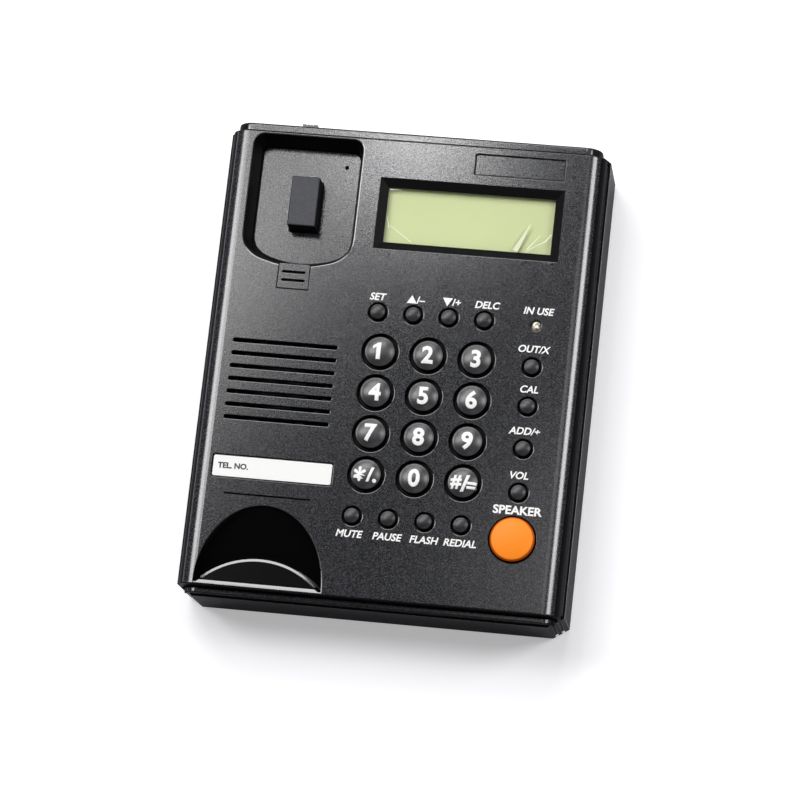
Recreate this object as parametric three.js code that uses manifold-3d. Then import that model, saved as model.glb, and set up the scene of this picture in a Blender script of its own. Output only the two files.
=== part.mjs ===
// Caller ID desk telephone: the base unit, without its handset and cords.
// Millimetres, +X to the right, +Y to the back, +Z up. The origin lies under the middle of the
// housing, on the surface that the four feet stand on.
import * as THREE from 'three';
import { mergeVertices } from 'three/addons/utils/BufferGeometryUtils.js';
import Module from 'manifold-3d';

const wasm = await Module();
wasm.setup();

// Overall sizes
const footHeight = 2;
const baseHeight = 29;
const coverDrop = 11;
const coverWidth = 156;
const housingLength = 199.7;
const edgeRadius = 6;
const wall = 2.5;
const seat = 0.3;
const overrun = 1;
const roundSteps = 4;
const cornerSteps = 2;
const holeSteps = 16;
const smallHoleSteps = 10;

const baseFloorZ = footHeight;
const splitZ = baseFloorZ + baseHeight;
const faceZ = splitZ + coverDrop;
const underFaceZ = faceZ - wall;
const coverHalf = coverWidth / 2;
const housingHalf = housingLength / 2;

// Ends of the cover: a low step in front and a shallow one behind
const frontStepReach = 3.3;
const backStepReach = 4.6;
const faceFrontY = -housingHalf + frontStepReach;
const faceBackY = housingHalf - backStepReach;
const stepInset = 2;
const frontStep = { drop: 6, lip: 0.8, groove: 0.65, grooveDepth: 3 };
const backStep = { drop: 1.5, lip: 0.85 };
const coverFrontY = -housingHalf + frontStep.lip;
const coverBackY = housingHalf - backStep.lip;
const skirtLip = { height: 0.7, reach: 0.45 };

// Base tub
const baseSide = { lip: 0.75, groove: 0.65, grooveDepth: 2.4, draft: 0.6 };
const baseHalf = coverHalf + baseSide.lip + baseSide.groove;
const rimThick = baseSide.lip + baseSide.groove + wall;
const baseCorner = { x: 6.4, y: 4.3, grooveWidth: 1.3, grooveDepth: 1.3 };
const cornerGrooveShares = [0.3, 0.68];
const baseFloor = 2.5;
const innerFloorZ = baseFloorZ + baseFloor;

// The left half of the face carries the handset, and its pieces share one middle line
const leftMiddleShare = 0.578;
const leftX = -coverHalf * leftMiddleShare;
const leftRoom = coverHalf + leftX;

// Earpiece recess, with its drafted walls, and the hook plunger that stands in it
const earMargin = { side: 9.9, back: 1.05 };
const earLength = 55.2;
const ear = {
  x: leftX,
  width: (leftRoom - earMargin.side) * 2,
  top: faceBackY - earMargin.back,
  bottom: faceBackY - earMargin.back - earLength,
  depth: 12.6,
  draft: 2.7,
};
const earCorner = { top: 4.5, bottom: 11, bulge: 2.4 };
const pocketWall = 2;
const plungerFromBack = 26.9;
const plunger = {
  width: 11.5, length: 20.2, top: 3, y: ear.top - plungerFromBack, clearance: 0.4, travel: 6,
};
const plungerFlange = { reach: 1.6, height: 2 };
const plungerPost = { radius: 2.2, length: 2.2 };
const microphoneInset = { side: 8, back: 8.6 };
const microphoneHole = {
  x: ear.x + ear.width / 2 - microphoneInset.side,
  y: ear.top - microphoneInset.back,
  radius: 0.7,
};
const microphone = { radius: 4.8, height: 4.5 };

// Mouthpiece recess: a scoop that deepens towards a curved ridge, and a level shelf in front
const mouthSide = 6.7;
const mouth = {
  x: leftX, halfWidth: leftRoom - mouthSide, height: 33.2, edge: 1, depth: 10.8, rim: 1.4,
};
const mouthRidge = { rise: 10, drop: 2.4 };

// Handset retaining tab beside the earpiece recess
const tabOverlap = 0.6;
const tabLength = 10.6;
const tab = {
  x: leftX,
  width: 12.8,
  top: ear.bottom + tabOverlap,
  bottom: ear.bottom + tabOverlap - tabLength,
  thick: 2.4,
};
const tabSlot = { length: 9.6, width: 1.1, depth: 0.9 };
const tabSlotShares = [0.38, 0.72];
const tabGap = 0.3;

// Display window, between the earpiece recess and the right side
const displayHeight = 30.2;
const displayMargin = { left: 8.55, right: 15.5, back: 16.15 };
const displayLeft = ear.x + ear.width / 2 + displayMargin.left;
const displayRight = coverHalf - displayMargin.right;
const display = {
  x: (displayLeft + displayRight) / 2,
  y: faceBackY - displayMargin.back - displayHeight / 2,
  width: displayRight - displayLeft,
  height: displayHeight,
  bevel: 3.4,
  bevelDepth: 2,
};
const lens = { margin: 3, thick: 1.5, corner: 1.5 };
const panel = { margin: 1.5, thick: 2.8 };
const displayBoard = { margin: 5, thick: 1.6 };
const badgeSize = { width: 37.4, height: 9.2 };
const badgeMargin = { right: 0.6, back: 2.95 };
const badge = {
  x: displayRight - badgeMargin.right - badgeSize.width / 2,
  y: faceBackY - badgeMargin.back - badgeSize.height / 2,
  width: badgeSize.width,
  height: badgeSize.height,
  depth: 0.5,
  corner: 0.8,
};

// Number card and the slit under it
const cardHeight = 9.1;
const cardFromFront = 49.45;
const cardReach = { left: 0.1, right: 2.1 };
const card = {
  x: leftX + (cardReach.right - cardReach.left) / 2,
  y: faceFrontY + cardFromFront,
  width: ear.width + cardReach.left + cardReach.right,
  height: cardHeight,
  recess: 1.1,
  thick: 0.6,
  corner: 1.2,
};
const slitBelowCard = 11.2;
const slit = { x: leftX, y: card.y - slitBelowCard, length: 35.6, width: 0.5, depth: 0.8 };

// Loudspeaker grille, in the room between the tab and the card, and the loudspeaker below it
const grilleRoom = tab.bottom - card.y - card.height / 2;
const grillePlaceShares = { first: 0.327, pitch: 0.0752, roundEnd: 0.45 };
const grilleInset = 1.3;
const grille = {
  x: leftX,
  y: tab.bottom - grilleRoom * grillePlaceShares.first,
  length: ear.width - grilleInset * 2,
  slot: 1.4,
  pitch: grilleRoom * grillePlaceShares.pitch,
  count: 7,
};
const speakerMargin = 3.86;
const speakerUnit = {
  radius: (grille.pitch * (grille.count - 1)) / 2 + speakerMargin,
  flange: 1.6,
  depth: 9,
  magnetHeight: 5.5,
  wall: 1,
};
const magnetShares = { radius: 0.575, throat: 0.345 };
const coneShares = { rim: 0.94, neck: 0.47, cap: 0.28, capEdge: 0.17 };

// Buttons: cap radius, hole radius, height above the face
const digitKey = { cap: 6.55, hole: 7.15, rim: 7.75, proud: 1.5, dome: 1.5 };
const roundKey = { cap: 3.3, hole: 3.75, rim: 4.3, proud: 1.7, dome: 0.7 };
const speakerKey = { cap: 9.1, hole: 9.45, rim: 9.9, proud: 1.4, dome: 2 };
const domeFilletShare = 0.4;
const keyTravel = 1.5;
const keyFlange = { reach: 0.8, height: 1 };
const keyStem = { radius: 1.6, clearance: 0.8 };

// Places of the buttons: across as shares of the cover, and up and down from the digits
const digitShares = { x: 0.1795, y: -0.1172, pitchX: 0.1269 };
const topRowShares = { x: 0.1718, pitch: 0.0936 };
const bottomRowShares = { x: 0.1615, pitch: 0.0949 };
const sideColumnShare = 0.7256;
const sideRowShares = [0.93, -0.03, -1.06, -2.12];
const speakerKeyShare = 0.7192;
const rowRise = { top: 33.7, indicator: 33.3, bottom: -51.6, speaker: -55.6 };
const digits = {
  x: coverHalf * digitShares.x,
  y: housingHalf * digitShares.y,
  pitchX: coverWidth * digitShares.pitchX,
  pitchY: 17.1,
};
const topRow = {
  x: coverHalf * topRowShares.x, y: digits.y + rowRise.top, pitch: coverWidth * topRowShares.pitch,
};
const bottomRow = {
  x: coverHalf * bottomRowShares.x,
  y: digits.y + rowRise.bottom,
  pitch: coverWidth * bottomRowShares.pitch,
};
const sideColumn = { x: coverHalf * sideColumnShare, y: digits.y };
const speakerKeyAt = { x: coverHalf * speakerKeyShare, y: digits.y + rowRise.speaker };
const indicator = {
  x: sideColumn.x, y: digits.y + rowRise.indicator, radius: 1.9, hole: 2.2, proud: 0.6, collar: 2.6,
};
const indicatorTopShare = 0.7;

// Rubber mat and boards under the buttons
const mat = { thick: 1 };
const board = { thick: 1.6, margin: 2 };
const hookSwitchBody = { width: 13.2, length: 11 };

// Ringer slide switch on the back
const ringerShare = 0.5923;
const ringerDrop = 5.4;
const ringer = {
  x: -coverHalf * ringerShare,
  z: faceZ - ringerDrop,
  width: 6.3,
  height: 3,
  proud: 1.5,
  travel: 3,
  skin: 1.2,
};
const ringerBody = { width: 13, height: 5.2, depth: 2.4 };

// Modular jacks: one in the back for the line, one in the left side for the handset
const jack = { width: 13.6, height: 12, depth: 15, socket: 9.8, socketHeight: 6.8, socketDepth: 12 };
const jackKeyway = { width: 4.9, height: 1.1 };

// Battery compartment under the base
const cell = { radius: 5.25, length: 44.5, count: 3, gap: 0.5, nub: 1.9, nubLength: 0.8 };
const bayShares = { x: 0.436, y: -0.3 };
const bay = {
  x: coverHalf * bayShares.x, y: housingHalf * bayShares.y, side: 1.2, end: 3, wall: 1.6,
};
const door = { thick: 2, margin: 2.4, travel: 5, gap: 0.35, latch: 9 };
const latchRib = { pitch: 2.5, width: 0.8, depth: 0.5, count: 4 };

// Places of the jacks
const jackZ = 13;
const handsetJackShare = -0.2;
const jackPlaces = {
  line_jack: { x: bay.x, y: housingHalf - baseSide.draft, turn: 0 },
  handset_jack: { x: -baseHalf + seat, y: housingHalf * handsetJackShare, turn: Math.PI / 2 },
};

// Feet, screws and their bosses
const foot = { radius: 6, insetX: 12, insetY: 22, recess: 0.5, edge: 0.6 };
const screw = { head: 2.9, headHeight: 1.8, shank: 1.3, length: 13 };
const screwHeadShare = 0.8;
const boss = { radius: 4.6, baseTop: 11, pilotDepth: 9, wallGap: 0.6 };
const bossX = coverHalf - wall - boss.wallGap - boss.radius;
const screwPlaces = [
  [-bossX, ear.bottom - boss.radius * 3],
  [-bossX, card.y - boss.radius * 2],
  [bossX, display.y],
  [bossX, faceFrontY + wall + boss.wallGap + boss.radius],
];

// Main board, between the bosses at the left and the battery compartment
const bayWidth = cell.count * cell.radius * 2 + (cell.count - 1) * cell.gap + bay.side * 2;
const bayLength = cell.length + cell.nubLength + bay.end * 2;
const mainBoardGap = { left: 5.7, right: 2.45, back: 0.6 };
const mainBoardEdges = [
  -bossX + boss.radius + mainBoardGap.left,
  bay.x - bayWidth / 2 - bay.wall - mainBoardGap.right,
];
const mainBoardLength = 112;
const mainBoard = {
  x: (mainBoardEdges[0] + mainBoardEdges[1]) / 2,
  y: plunger.y + plunger.length / 2 + mainBoardGap.back - mainBoardLength / 2,
  width: mainBoardEdges[1] - mainBoardEdges[0],
  length: mainBoardLength,
  thick: 1.6,
  z: 9,
  post: 3,
};

// Materials
const finish = (color, roughness, metalness = 0, extra = {}) =>
  new THREE.MeshStandardMaterial({ color, roughness, metalness, ...extra });
const coverBlack = finish(0x17181a, 0.5);
const baseBlack = finish(0x1b1c1e, 0.45);
const keyBlack = finish(0x1d1e20, 0.4);
const orange = finish(0xf47b1e, 0.4);
const clear = finish(0xdfe6df, 0.1, 0, { transparent: true, opacity: 0.3 });
const displayGreen = finish(0xcfd99f, 0.35);
const boardGreen = finish(0x2f6b3c, 0.6);
const rubberGrey = finish(0x55585a, 0.85);
const rubberBlack = finish(0x121212, 0.9);
const steel = finish(0xb9bcc0, 0.35, 0.9);
const ferrite = finish(0x3a3a3c, 0.7, 0.3);
const paper = finish(0xf2f2ee, 0.8);
const coneBlack = finish(0x2a2a2a, 0.9);
const lampClear = finish(0xdedbcb, 0.2);
const cellGrey = finish(0x8a8f96, 0.4, 0.5);
const jackBlack = finish(0x202124, 0.5);

// Solids: closed geometry in, booleans, and a mesh out
function toSolid(geometry) {
  const bare = geometry.clone();
  bare.deleteAttribute('normal');
  bare.deleteAttribute('uv');
  const merged = mergeVertices(bare, seat / 3000);
  const position = merged.getAttribute('position');
  const index = merged.getIndex().array;
  const corners = [];
  for (let i = 0; i < index.length; i += 3) {
    const [a, b, c] = [index[i], index[i + 1], index[i + 2]];
    if (a !== b && b !== c && c !== a) corners.push(a, b, c);
  }
  if (signedVolume(position, corners) < 0) {
    for (let i = 0; i < corners.length; i += 3) {
      [corners[i], corners[i + 1]] = [corners[i + 1], corners[i]];
    }
  }
  const mesh = new wasm.Mesh({
    numProp: 3,
    vertProperties: new Float32Array(position.array),
    triVerts: new Uint32Array(corners),
  });
  return new wasm.Manifold(mesh);
}

function signedVolume(position, corners) {
  const [a, b, c] = [new THREE.Vector3(), new THREE.Vector3(), new THREE.Vector3()];
  let sum = 0;
  for (let i = 0; i < corners.length; i += 3) {
    a.fromBufferAttribute(position, corners[i]);
    b.fromBufferAttribute(position, corners[i + 1]);
    c.fromBufferAttribute(position, corners[i + 2]);
    sum += a.dot(b.cross(c));
  }
  return sum;
}

function toGeometry(solid) {
  const { vertProperties, triVerts } = solid.getMesh();
  const geometry = new THREE.BufferGeometry();
  geometry.setAttribute('position', new THREE.BufferAttribute(new Float32Array(vertProperties), 3));
  geometry.setIndex(new THREE.BufferAttribute(new Uint32Array(triVerts), 1));
  const flat = geometry.toNonIndexed();
  flat.computeVertexNormals();
  return flat;
}

const join = (solids) => solids.reduce((sum, solid) => sum.add(solid));
const cut = (solid, cutters) => (cutters.length ? solid.subtract(join(cutters)) : solid);

// Forms
function prism(shape, bottom, top, steps = cornerSteps) {
  const settings = { depth: top - bottom, bevelEnabled: false, curveSegments: steps };
  return new THREE.ExtrudeGeometry(shape, settings).translate(0, 0, bottom);
}

function profileAlongY(shape, front, back) {
  const settings = { depth: back - front, bevelEnabled: false, curveSegments: roundSteps };
  return new THREE.ExtrudeGeometry(shape, settings).rotateX(Math.PI / 2).translate(0, back, 0);
}

function box(x0, x1, y0, y1, z0, z1) {
  return new THREE.BoxGeometry(x1 - x0, y1 - y0, z1 - z0)
    .translate((x0 + x1) / 2, (y0 + y1) / 2, (z0 + z1) / 2);
}

function turned(points, x, y, segments = holeSteps) {
  const outline = points.map(([radius, z]) => new THREE.Vector2(radius, z));
  return new THREE.LatheGeometry(outline, segments).rotateX(Math.PI / 2).translate(x, y, 0);
}

function disc(x, y, radius, bottom, top, segments = holeSteps) {
  return turned([[0, bottom], [radius, bottom], [radius, top], [0, top]], x, y, segments);
}

function roundedRect(x, y, width, height, radius) {
  const [left, right, bottom, top] = [x - width / 2, x + width / 2, y - height / 2, y + height / 2];
  const shape = new THREE.Shape();
  shape.moveTo(left + radius, bottom);
  shape.lineTo(right - radius, bottom);
  shape.absarc(right - radius, bottom + radius, radius, -Math.PI / 2, 0);
  shape.lineTo(right, top - radius);
  shape.absarc(right - radius, top - radius, radius, 0, Math.PI / 2);
  shape.lineTo(left + radius, top);
  shape.absarc(left + radius, top - radius, radius, Math.PI / 2, Math.PI);
  shape.lineTo(left, bottom + radius);
  shape.absarc(left + radius, bottom + radius, radius, Math.PI, Math.PI * 1.5);
  return shape;
}

// Tapers a geometry about (x, y): full size at zFull, scaled by (sx, sy) at zSmall
function taper(geometry, x, y, zFull, zSmall, sx, sy) {
  const position = geometry.getAttribute('position');
  for (let i = 0; i < position.count; i++) {
    const share = (zFull - position.getZ(i)) / (zFull - zSmall);
    position.setX(i, x + (position.getX(i) - x) * (1 + (sx - 1) * share));
    position.setY(i, y + (position.getY(i) - y) * (1 + (sy - 1) * share));
  }
  return geometry;
}

// Cross-section of the cover: square below, both top edges rounded
function coverSection(half, top, bottom, radius) {
  const shape = new THREE.Shape();
  shape.moveTo(-half, bottom);
  shape.lineTo(half, bottom);
  shape.lineTo(half, top - radius);
  shape.absarc(half - radius, top - radius, radius, 0, Math.PI / 2);
  shape.lineTo(-half + radius, top);
  shape.absarc(-half + radius, top - radius, radius, Math.PI / 2, Math.PI);
  return shape;
}

// Plan of the earpiece recess: small corners behind, wide ones in front, a bowed front edge
function earShape(grow) {
  const left = ear.x - ear.width / 2 - grow;
  const right = ear.x + ear.width / 2 + grow;
  const [top, bottom] = [ear.top + grow, ear.bottom + earCorner.bulge - grow];
  const [small, wide] = [earCorner.top + grow, earCorner.bottom + grow];
  const bow = bottom - earCorner.bulge * 2;
  const lift = earCorner.bulge / 2;
  const shape = new THREE.Shape();
  shape.moveTo(right - small, top);
  shape.lineTo(left + small, top);
  shape.absarc(left + small, top - small, small, Math.PI / 2, Math.PI);
  shape.lineTo(left, bottom + wide);
  shape.quadraticCurveTo(left, bottom + lift, left + wide, bottom - lift);
  shape.quadraticCurveTo(ear.x, bow, right - wide, bottom - lift);
  shape.quadraticCurveTo(right, bottom + lift, right, bottom + wide);
  shape.lineTo(right, top - small);
  shape.absarc(right - small, top - small, small, 0, Math.PI / 2);
  return shape;
}

// Plan of the mouthpiece recess: half an ellipse that stands on the front edge of the face
const mouthY = faceFrontY + mouth.edge;
const ridgeRadius = (mouth.halfWidth ** 2 + mouthRidge.rise ** 2) / (2 * mouthRidge.rise);
const ridgeAngle = Math.asin(mouth.halfWidth / ridgeRadius);

function mouthShape(grow) {
  const shape = new THREE.Shape();
  const [across, deep] = [mouth.halfWidth + grow, mouth.height + grow];
  shape.moveTo(mouth.x - across, mouthY);
  shape.lineTo(mouth.x + across, mouthY);
  shape.absellipse(mouth.x, mouthY, across, deep, 0, Math.PI);
  return shape;
}

function ridgeShape() {
  const shape = new THREE.Shape();
  const middle = Math.PI / 2;
  shape.moveTo(mouth.x - mouth.halfWidth, mouthY);
  shape.lineTo(mouth.x + mouth.halfWidth, mouthY);
  const centreY = mouthY + mouthRidge.rise - ridgeRadius;
  shape.absarc(mouth.x, centreY, ridgeRadius, middle - ridgeAngle, middle + ridgeAngle);
  return shape;
}

// A wedge above a plane that falls from zStart at yStart to zEnd at yEnd
function slopedCut(halfWidth, x, yStart, zStart, yEnd, zEnd) {
  const shape = new THREE.Shape();
  shape.moveTo(yStart, zStart);
  shape.lineTo(yStart, faceZ + overrun);
  shape.lineTo(yEnd, faceZ + overrun);
  shape.lineTo(yEnd, zEnd);
  const settings = { depth: halfWidth * 2, bevelEnabled: false };
  const wedge = new THREE.ExtrudeGeometry(shape, settings);
  wedge.rotateX(Math.PI / 2).rotateZ(Math.PI / 2);
  return wedge.translate(x - halfWidth, 0, 0);
}

const keys = [];
const addKey = (name, kind, x, y, material = keyBlack) => keys.push({ name, kind, x, y, material });
const digitNames = ['1', '2', '3', '4', '5', '6', '7', '8', '9', 'star', '0', 'hash'];
digitNames.forEach((digit, i) => {
  const [row, column] = [Math.floor(i / 3), i % 3];
  addKey(`key_${digit}`, digitKey, digits.x + (column - 1) * digits.pitchX,
    digits.y + (1 - row) * digits.pitchY);
});
const addRow = (names, row) => names.forEach((name, i) =>
  addKey(`key_${name}`, roundKey, row.x + (i - (names.length - 1) / 2) * row.pitch, row.y));
addRow(['set', 'up', 'down', 'delete'], topRow);
addRow(['mute', 'pause', 'flash', 'redial'], bottomRow);
['out', 'calculator', 'add', 'volume'].forEach((name, i) =>
  addKey(`key_${name}`, roundKey, sideColumn.x, sideColumn.y + sideRowShares[i] * digits.pitchY));
addKey('key_speaker', speakerKey, speakerKeyAt.x, speakerKeyAt.y, orange);

// Top cover
const earFloorZ = faceZ - ear.depth;
const earMiddleY = (ear.top + ear.bottom) / 2;
const earTaperX = 1 - (2 * ear.draft) / ear.width;
const earTaperY = 1 - (2 * ear.draft) / (ear.top - ear.bottom);

function topCover() {
  const main = toSolid(profileAlongY(coverSection(coverHalf, faceZ, splitZ + seat, edgeRadius),
    faceFrontY, faceBackY));
  const stepHalf = coverHalf - stepInset;
  const back = toSolid(profileAlongY(
    coverSection(stepHalf, faceZ - backStep.drop, splitZ + seat, edgeRadius - stepInset / 2),
    faceBackY - wall, coverBackY));
  const front = toSolid(profileAlongY(
    coverSection(stepHalf, faceZ - frontStep.drop, splitZ + seat, edgeRadius - stepInset),
    coverFrontY, faceFrontY + wall));
  const lipTop = splitZ + seat + skirtLip.height;
  const lip = toSolid(box(-coverHalf - skirtLip.reach, coverHalf + skirtLip.reach,
    faceFrontY + stepInset, faceBackY - stepInset, splitZ + seat, lipTop));
  const inside = toSolid(profileAlongY(
    coverSection(coverHalf - wall, underFaceZ, splitZ - overrun, edgeRadius - wall),
    faceFrontY + wall, faceBackY - wall));
  let shell = cut(join([main, back, front, lip]), [inside]);

  const scoopPocket = toSolid(prism(mouthShape(pocketWall), faceZ - mouth.depth - pocketWall,
    faceZ - overrun, roundSteps));
  const rimSpace = toSolid(box(-baseHalf, baseHalf, -housingHalf, housingHalf, baseFloorZ,
    splitZ + seat)).subtract(toSolid(prism(tubShape(rimThick + seat), baseFloorZ, splitZ + overrun)));
  const pockets = [
    taper(prism(earShape(pocketWall), earFloorZ - pocketWall, faceZ - overrun, roundSteps),
      ear.x, earMiddleY, faceZ, earFloorZ - pocketWall, earTaperX, earTaperY),
    box(tab.x - tab.width / 2 - wall, tab.x + tab.width / 2 + wall,
      tab.bottom - wall, tab.top, faceZ - tab.thick - wall - tabGap, faceZ - overrun),
    box(card.x - card.width / 2 - wall, card.x + card.width / 2 + wall,
      card.y - card.height / 2 - wall, card.y + card.height / 2 + wall,
      underFaceZ - card.recess, faceZ - overrun),
    ...screwPlaces.map(([x, y]) => disc(x, y, boss.radius, boss.baseTop + seat, faceZ - overrun)),
  ].map(toSolid);
  shell = join([shell, scoopPocket.subtract(rimSpace), ...pockets]);

  const cutters = [
    taper(prism(earShape(0), earFloorZ, faceZ + overrun, roundSteps), ear.x, earMiddleY, faceZ, earFloorZ,
      earTaperX, earTaperY),
    prism(roundedRect(ear.x, plunger.y, plunger.width + plunger.clearance * 2,
      plunger.length + plunger.clearance * 2, plunger.clearance * 2),
      earFloorZ - pocketWall - overrun, earFloorZ + overrun),
    disc(microphoneHole.x, microphoneHole.y, microphoneHole.radius,
      earFloorZ - pocketWall - overrun, earFloorZ + overrun, smallHoleSteps),
    box(tab.x - tab.width / 2 - tabGap, tab.x + tab.width / 2 + tabGap, tab.bottom - tabGap,
      tab.top + earCorner.bulge, faceZ - tab.thick - tabGap, faceZ + overrun),
    prism(roundedRect(badge.x, badge.y, badge.width, badge.height, badge.corner),
      faceZ - badge.depth, faceZ + overrun),
    prism(roundedRect(card.x, card.y, card.width, card.height, card.corner),
      faceZ - card.recess, faceZ + overrun),
    box(slit.x - slit.length / 2, slit.x + slit.length / 2, slit.y - slit.width / 2,
      slit.y + slit.width / 2, faceZ - slit.depth, faceZ + overrun),
    displayCut(),
    disc(indicator.x, indicator.y, indicator.hole, underFaceZ - overrun, faceZ + overrun, smallHoleSteps),
    box(-stepHalf, stepHalf, faceFrontY - frontStep.groove, faceFrontY,
      faceZ - frontStep.drop - frontStep.grooveDepth, faceZ),
    box(ringer.x - (ringer.width + ringer.travel) / 2 - seat,
      ringer.x + (ringer.width + ringer.travel) / 2 + seat, coverBackY - ringer.skin - seat,
      coverBackY + overrun, ringer.z - ringer.height / 2 - seat, ringer.z + ringer.height / 2 + seat),
    box(ringer.x - ringerBody.width / 2 - seat, ringer.x + ringerBody.width / 2 + seat,
      coverBackY - ringer.skin - seat * 2 - ringerBody.depth, coverBackY - ringer.skin,
      splitZ - overrun, ringer.z + ringerBody.height / 2 + seat),
    ...screwPlaces.map(([x, y]) =>
      disc(x, y, screw.shank + seat, boss.baseTop - overrun, boss.baseTop + boss.pilotDepth, smallHoleSteps)),
  ].map(toSolid);
  for (let i = 0; i < grille.count; i++) {
    const slot = roundedRect(grille.x, grille.y - i * grille.pitch, grille.length, grille.slot,
      grille.slot * grillePlaceShares.roundEnd);
    cutters.push(toSolid(prism(slot, underFaceZ - overrun, faceZ + overrun, 2)));
  }
  for (const { kind, x, y } of keys) {
    const chamfer = kind.rim - kind.hole;
    const steps = kind === roundKey ? smallHoleSteps : holeSteps;
    cutters.push(toSolid(turned([[0, underFaceZ - overrun], [kind.hole, underFaceZ - overrun],
      [kind.hole, faceZ - chamfer], [kind.rim, faceZ], [kind.rim, faceZ + overrun],
      [0, faceZ + overrun]], x, y, steps)));
  }
  const scoopPlan = toSolid(prism(mouthShape(0), faceZ - mouth.depth, faceZ + overrun, holeSteps / 2));
  const lipPlan = toSolid(prism(ridgeShape(), faceZ - mouth.depth - overrun, faceZ + overrun * 2,
    roundSteps * 2));
  const scoop = scoopPlan.subtract(lipPlan).intersect(toSolid(slopedCut(mouth.halfWidth + overrun,
    mouth.x, mouthY + mouth.height, faceZ - mouth.rim, mouthY - overrun, faceZ - mouth.depth)));
  const shelf = lipPlan.intersect(toSolid(slopedCut(mouth.halfWidth + overrun, mouth.x,
    mouthY + mouthRidge.rise, faceZ - mouthRidge.drop, mouthY - overrun / 2,
    faceZ - mouthRidge.drop)));
  return cut(shell, [...cutters, scoop, shelf]);
}

// The display opening: a bevelled frame that narrows to the visible glass
function displayCut() {
  const [width, height] = [display.width, display.height];
  const narrowX = 1 - (2 * display.bevel) / width;
  const narrowY = 1 - (2 * display.bevel) / height;
  const top = faceZ + overrun;
  const shape = new THREE.Shape();
  shape.moveTo(display.x - width / 2, display.y - height / 2);
  shape.lineTo(display.x + width / 2, display.y - height / 2);
  shape.lineTo(display.x + width / 2, display.y + height / 2);
  shape.lineTo(display.x - width / 2, display.y + height / 2);
  const bevel = taper(prism(shape, faceZ - display.bevelDepth, faceZ), display.x, display.y,
    faceZ, faceZ - display.bevelDepth, narrowX, narrowY);
  const glass = box(display.x - (width / 2) * narrowX, display.x + (width / 2) * narrowX,
    display.y - (height / 2) * narrowY, display.y + (height / 2) * narrowY,
    underFaceZ - overrun, faceZ - display.bevelDepth / 2);
  const solid = toSolid(bevel).add(toSolid(glass)).add(toSolid(prism(shape, faceZ - seat / 30, top)));
  return toGeometry(solid);
}

// Bottom cover: a tub with cut corners, its rim standing a little outside the top cover
function tubShape(inset) {
  const [x, y] = [baseHalf - inset, housingHalf - inset];
  const [cx, cy] = [baseCorner.x - inset / 3, baseCorner.y - inset / 3];
  const shape = new THREE.Shape();
  shape.moveTo(-x + cx, -y);
  shape.lineTo(x - cx, -y);
  shape.lineTo(x, -y + cy);
  shape.lineTo(x, y - cy);
  shape.lineTo(x - cx, y);
  shape.lineTo(-x + cx, y);
  shape.lineTo(-x, y - cy);
  shape.lineTo(-x, -y + cy);
  return shape;
}

const bayDepth = cell.radius * 2 + bay.side;
const bayTopZ = baseFloorZ + door.thick + door.gap + bayDepth;
const doorWidth = bayWidth + door.margin * 2;
const doorLength = bayLength + door.margin * 2;

function bottomCover() {
  const narrow = 1 - baseSide.draft / housingHalf;
  const outer = toSolid(taper(prism(tubShape(0), baseFloorZ, splitZ), 0, 0, splitZ, baseFloorZ, 1, narrow));
  const inner = toSolid(prism(tubShape(rimThick), innerFloorZ, splitZ + overrun));
  const grooveOuter = toSolid(prism(tubShape(baseSide.lip), splitZ - baseSide.grooveDepth, splitZ + overrun));
  const grooveInner = toSolid(prism(tubShape(baseSide.lip + baseSide.groove),
    splitZ - baseSide.grooveDepth - overrun, splitZ + overrun * 2));
  let tub = cut(outer, [inner, grooveOuter.subtract(grooveInner)]);

  const bayBox = box(bay.x - bayWidth / 2 - bay.wall, bay.x + bayWidth / 2 + bay.wall,
    bay.y - bayLength / 2 - bay.wall, bay.y + bayLength / 2 + bay.wall, midFloorZ,
    bayTopZ + bay.wall);
  const doorPad = box(bay.x - doorWidth / 2 - wall, bay.x + doorWidth / 2 + wall,
    bay.y - doorLength / 2 - door.travel - wall, bay.y + doorLength / 2 + wall,
    midFloorZ, baseFloorZ + door.thick + door.gap + wall);
  const holders = [bayBox, doorPad,
    ...screwPlaces.map(([x, y]) => disc(x, y, boss.radius, midFloorZ, boss.baseTop)),
    ...boardPosts().map(([x, y]) => disc(x, y, mainBoard.post, midFloorZ, mainBoard.z - seat,
      smallHoleSteps)),
    ...Object.values(jackPlaces).map(jackCradle),
  ].map(toSolid);
  tub = join([tub, ...holders]);

  const cutters = [
    box(bay.x - bayWidth / 2, bay.x + bayWidth / 2, bay.y - bayLength / 2, bay.y + bayLength / 2,
      baseFloorZ - overrun, bayTopZ),
    box(bay.x - doorWidth / 2 - door.gap, bay.x + doorWidth / 2 + door.gap,
      bay.y - doorLength / 2 - door.travel - door.gap, bay.y + doorLength / 2 + door.gap,
      baseFloorZ - overrun, baseFloorZ + door.thick + door.gap),
    ...footPlaces().map(([x, y]) => disc(x, y, foot.radius + seat, baseFloorZ - overrun,
      baseFloorZ + foot.recess)),
    ...screwPlaces.map(([x, y]) => turned([[0, baseFloorZ - overrun],
      [screw.head + seat, baseFloorZ - overrun], [screw.head + seat, headSeatZ],
      [screw.shank + seat, headSeatZ], [screw.shank + seat, boss.baseTop + overrun],
      [0, boss.baseTop + overrun]], x, y, smallHoleSteps)),
    ...Object.values(jackPlaces).map(jackHole),
    ...cornerGrooves(),
  ].map(toSolid);
  return cut(tub, cutters);
}

const screwHeadZ = innerFloorZ;
const headSeatZ = screwHeadZ + screw.headHeight + seat;
const midFloorZ = baseFloorZ + baseFloor / 2;

function footPlaces() {
  const [x, y] = [baseHalf - foot.insetX, housingHalf - foot.insetY];
  return [[-x, -y], [x, -y], [-x, y], [x, y]];
}

function boardPosts() {
  const [x, y] = [mainBoard.width / 2 - mainBoard.post, mainBoard.length / 2 - mainBoard.post];
  return [[-x, -y], [x, -y], [-x, y], [x, y]].map(([dx, dy]) => [mainBoard.x + dx, mainBoard.y + dy]);
}

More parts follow.
